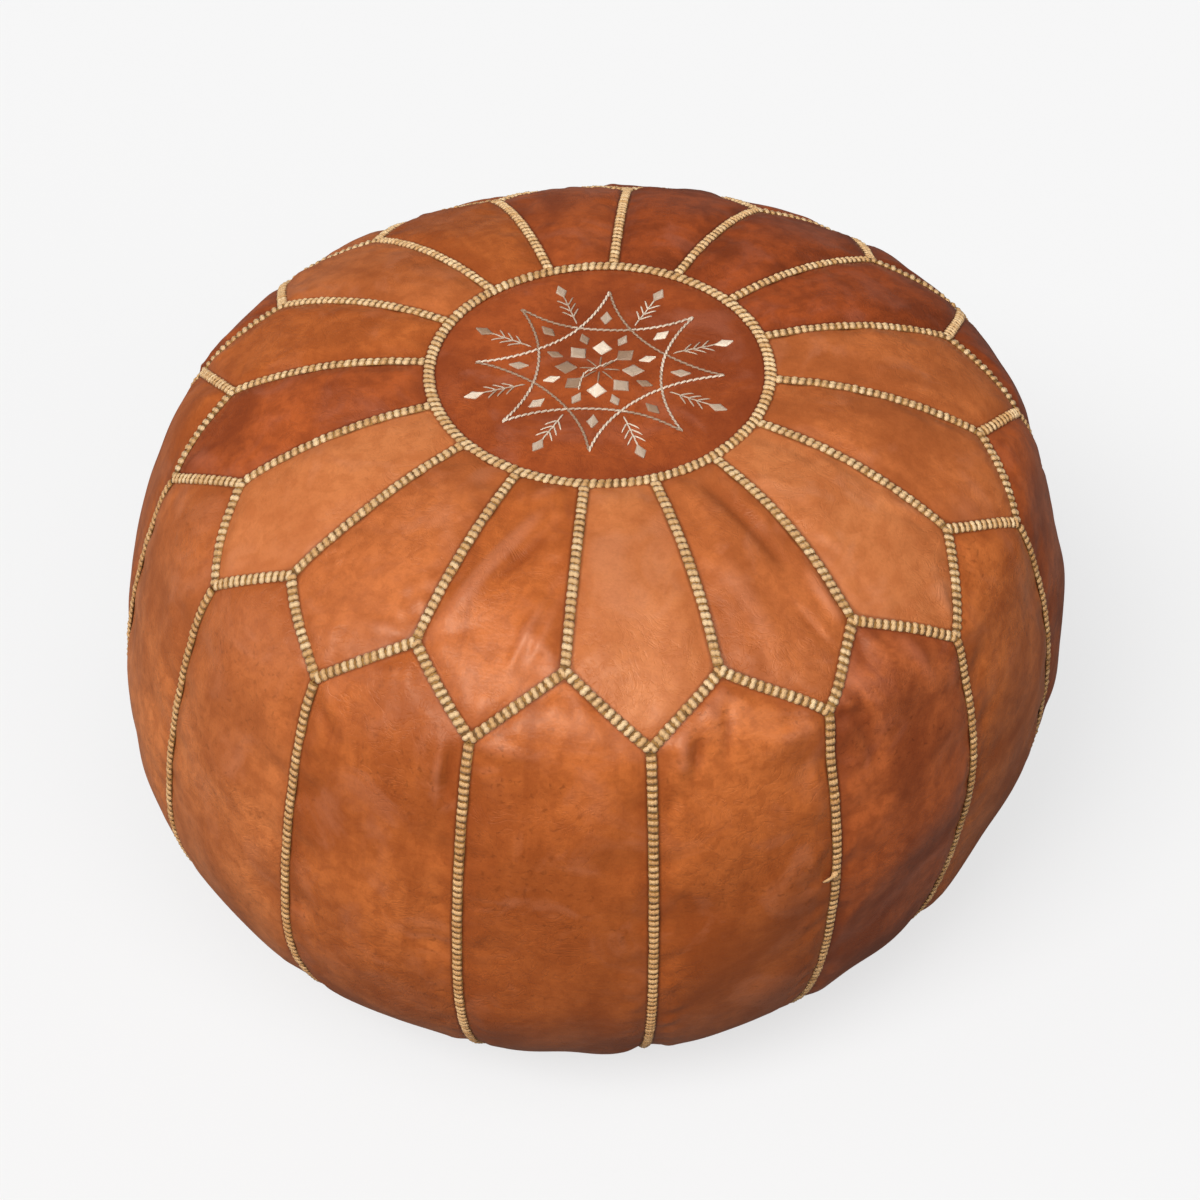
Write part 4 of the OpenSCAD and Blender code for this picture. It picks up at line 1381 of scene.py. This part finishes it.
# %% Lining
def cloth_piece(name, points, cad_node, centre=False):
    rows, cols = points.shape[:2]
    faces, corners = grid_faces(rows, cols, wrap=True), points.reshape(-1, 3)
    if centre:
        faces += cap_faces(rows * cols, 0, cols)
        corners = np.vstack([corners, points[0].mean(0)])
    obj = make_object(name, corners, faces)
    finish_piece(thicken(obj, CLOTH_WALL), "cotton_lining", cad_node, material=COTTON)


CLOTH_WALL = 0.7 * MM
LINING_LIFT = -(SEAM_DIP + WALL + 0.3 * MM)
STUFFING_LIFT = LINING_LIFT - 1.2 * MM
SPOKES = 160
spoke_turn = np.arange(SPOKES) * math.tau / SPOKES


def round_band(first, last, rows, lift):
    runs = np.linspace(first, last, rows)[:, None] * np.ones(SPOKES)
    return settle(skin(runs, np.tile(spoke_turn, (rows, 1)), lift))


top_run = notch_run - 1 * MM
cloth_piece("lining_top_cotton", round_band(3 * MM, top_run, 30, LINING_LIFT), "lining_top",
            centre=True)
cloth_piece("lining_side_cotton", round_band(notch_run + 1 * MM, base_run - 1 * MM, 60, LINING_LIFT),
            "lining_side")
POCKET_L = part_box("zip_facing_left")[1].x + 3 * MM
POCKET_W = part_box("zip_facing_left")[1].y + 3 * MM
inner_r = np.minimum(POCKET_L / np.maximum(np.abs(np.cos(spoke_turn)), 1e-6),
                     POCKET_W / np.maximum(np.abs(np.sin(spoke_turn)), 1e-6))
base_radius = inner_r + (BASE_R - 1 * MM - inner_r) * np.linspace(1, 0, 14)[:, None]
base_points = skin(run_under_belly(base_radius), np.tile(spoke_turn, (14, 1)), LINING_LIFT)
cloth_piece("lining_base_cotton", base_points, "lining_base")

# %% Wadding
STUFFING_ROWS = 110
POCKET_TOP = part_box("zip_slider")[1].z + 3.5 * MM
stuffing = round_band(4 * MM, RUN[-1] - 4 * MM, STUFFING_ROWS, STUFFING_LIFT)
over_zip = (np.abs(stuffing[..., 0]) < POCKET_L) & (np.abs(stuffing[..., 1]) < POCKET_W) \
    & (stuffing[..., 2] < POCKET_TOP)
stuffing[..., 2][over_zip] = POCKET_TOP
top_pole, low_pole = STUFFING_ROWS * SPOKES, STUFFING_ROWS * SPOKES + 1
poles = stuffing[[0, -1]].mean(1)
wadding = make_object("wadding", np.vstack([stuffing.reshape(-1, 3), poles]),
                      grid_faces(STUFFING_ROWS, SPOKES, wrap=True) + cap_faces(top_pole, 0, SPOKES)
                      + cap_faces(low_pole, top_pole - SPOKES, SPOKES, flip=True))


def wadding_material():
    material, tree = new_material("cotton_wadding")
    tufts = noise(tree, object_place(tree), 9 * MM, 6.0, 0.7, 1.0)
    colour = mix(tree, band(tree, tufts, 0.35, 0.65), srgb("cfc6b2"), srgb("f3eee0"))
    principled(tree, {"Base Color": colour, "Roughness": 0.95}, tufts, 0.8, 2 * MM)
    return material


finish_piece(wadding, "wadding", "stuffing", material=wadding_material())
print("wadding", len(wadding.data.polygons), "faces")

# %% [markdown]
# ## Clear away the patterns
#
# The single wraps and the bed were only patterns for Geometry Nodes. The pieces made from them
# are plain meshes now, so the patterns can go.

# %% Remove the patterns
for pattern in (*wraps.values(), bed, STITCH):
    bpy.data.objects.remove(pattern)

# %% [markdown]
# ## Camera, floor and light
#
# The camera looks down on the pouf at about forty-four degrees through a long lens, as a
# catalogue picture does. A pale floor fills the view, under soft light from the upper left.

# %% Camera
def direction(turn, rise):
    turn, rise = math.radians(turn), math.radians(rise)
    return Vector((math.cos(rise) * math.cos(turn), math.cos(rise) * math.sin(turn), math.sin(rise)))


def add_to_scene(name, data, location=(0, 0, 0)):
    obj = bpy.data.objects.new(name, data)
    obj.location = location
    scene.collection.objects.link(obj)
    return obj


TARGET = Vector((0, 0, 0.165))
CAMERA_TURN, CAMERA_RISE, CAMERA_AWAY, CAMERA_ROLL = -84.8, 43.8, 1.84, math.radians(-0.5)
toward = direction(CAMERA_TURN, CAMERA_RISE)
optics = bpy.data.cameras.new("camera")
optics.lens, optics.sensor_width = 95.6, 36
optics.shift_x, optics.shift_y = 0.0033, 0.0025
camera = add_to_scene("camera", optics, TARGET + CAMERA_AWAY * toward)
camera.rotation_mode = "QUATERNION"
roll = Matrix.Rotation(CAMERA_ROLL, 4, "Z").to_quaternion()
camera.rotation_quaternion = toward.to_track_quat("Z", "Y") @ roll
scene.camera = camera

# %% Floor
FLOOR_SIZE = 12
FLOOR_SEEN, FLOOR_BOUNCE, FLOOR_GLOW = (0.22, 0.22, 0.22, 1), (0.17, 0.16, 0.15, 1), (0.68, 0.68, 0.68, 1)
BLACK = (0, 0, 0, 1)


def floor_material():
    """Pale to the camera, darker to what the floor lights, and clear from below."""
    material, tree = new_material("pale_floor")
    ray = tree.nodes.new("ShaderNodeLightPath").outputs
    below = tree.nodes.new("ShaderNodeNewGeometry").outputs["Backfacing"]
    clear = maths(tree, "MAXIMUM", below, ray["Is Shadow Ray"])
    principled(tree, {"Base Color": mix(tree, ray["Is Camera Ray"], FLOOR_BOUNCE, FLOOR_SEEN),
                      "Emission Color": mix(tree, ray["Is Camera Ray"], BLACK, FLOOR_GLOW),
                      "Emission Strength": 1.0, "Alpha": maths(tree, "SUBTRACT", 1.0, clear),
                      "Roughness": 1.0, "Specular IOR Level": 0.0})
    return material


floor_corners = [(FLOOR_SIZE * x, FLOOR_SIZE * y, 0) for x, y in ((-1, -1), (1, -1), (1, 1), (-1, 1))]
floor = make_object("floor", floor_corners, [(0, 1, 2, 3)])
floor.location.z = -0.2 * MM
floor.data.materials.append(floor_material())

# %% Light
SUNS = {    # direction and rise in degrees, spread in degrees, strength
    "key_light": (-122, 52, 28, 2.1),
    "front_light": (-78, 58, 50, 1.25),
    "left_light": (-165, 20, 40, 0.50),
    "right_light": (-38, 28, 30, 0.35),
    "dome_light": (0, 90, 130, 0.25),
    "floor_glow": (0, -90, 120, 0.05),
}
for name, (turn, rise, spread, strength) in SUNS.items():
    lamp = bpy.data.lights.new(name, "SUN")
    lamp.angle, lamp.energy = math.radians(spread), strength
    sun = add_to_scene(name, lamp)
    sun.rotation_euler = direction(turn, rise).to_track_quat("Z", "Y").to_euler()

BEAM_BELOW = 1.2        # a beam from under the floor, which reaches nothing but the base
lamp = bpy.data.lights.new("base_light", "SPOT")
lamp.energy, lamp.shadow_soft_size, lamp.spot_blend = 60.0, 0.05, 0.1
lamp.spot_size = 2 * math.atan(BASE_R / BEAM_BELOW)
add_to_scene("base_light", lamp, (0, 0, -BEAM_BELOW)).rotation_euler = (math.pi, 0, 0)
world = bpy.data.worlds.new("studio")
world.use_nodes = True
background = world.node_tree.nodes["Background"].inputs
background["Color"].default_value, background["Strength"].default_value = (1.0, 0.99, 0.98, 1), 0.08
scene.world = world
scene.view_settings.view_transform = "Standard"
print("camera, floor and", len(SUNS) + 1, "lights")
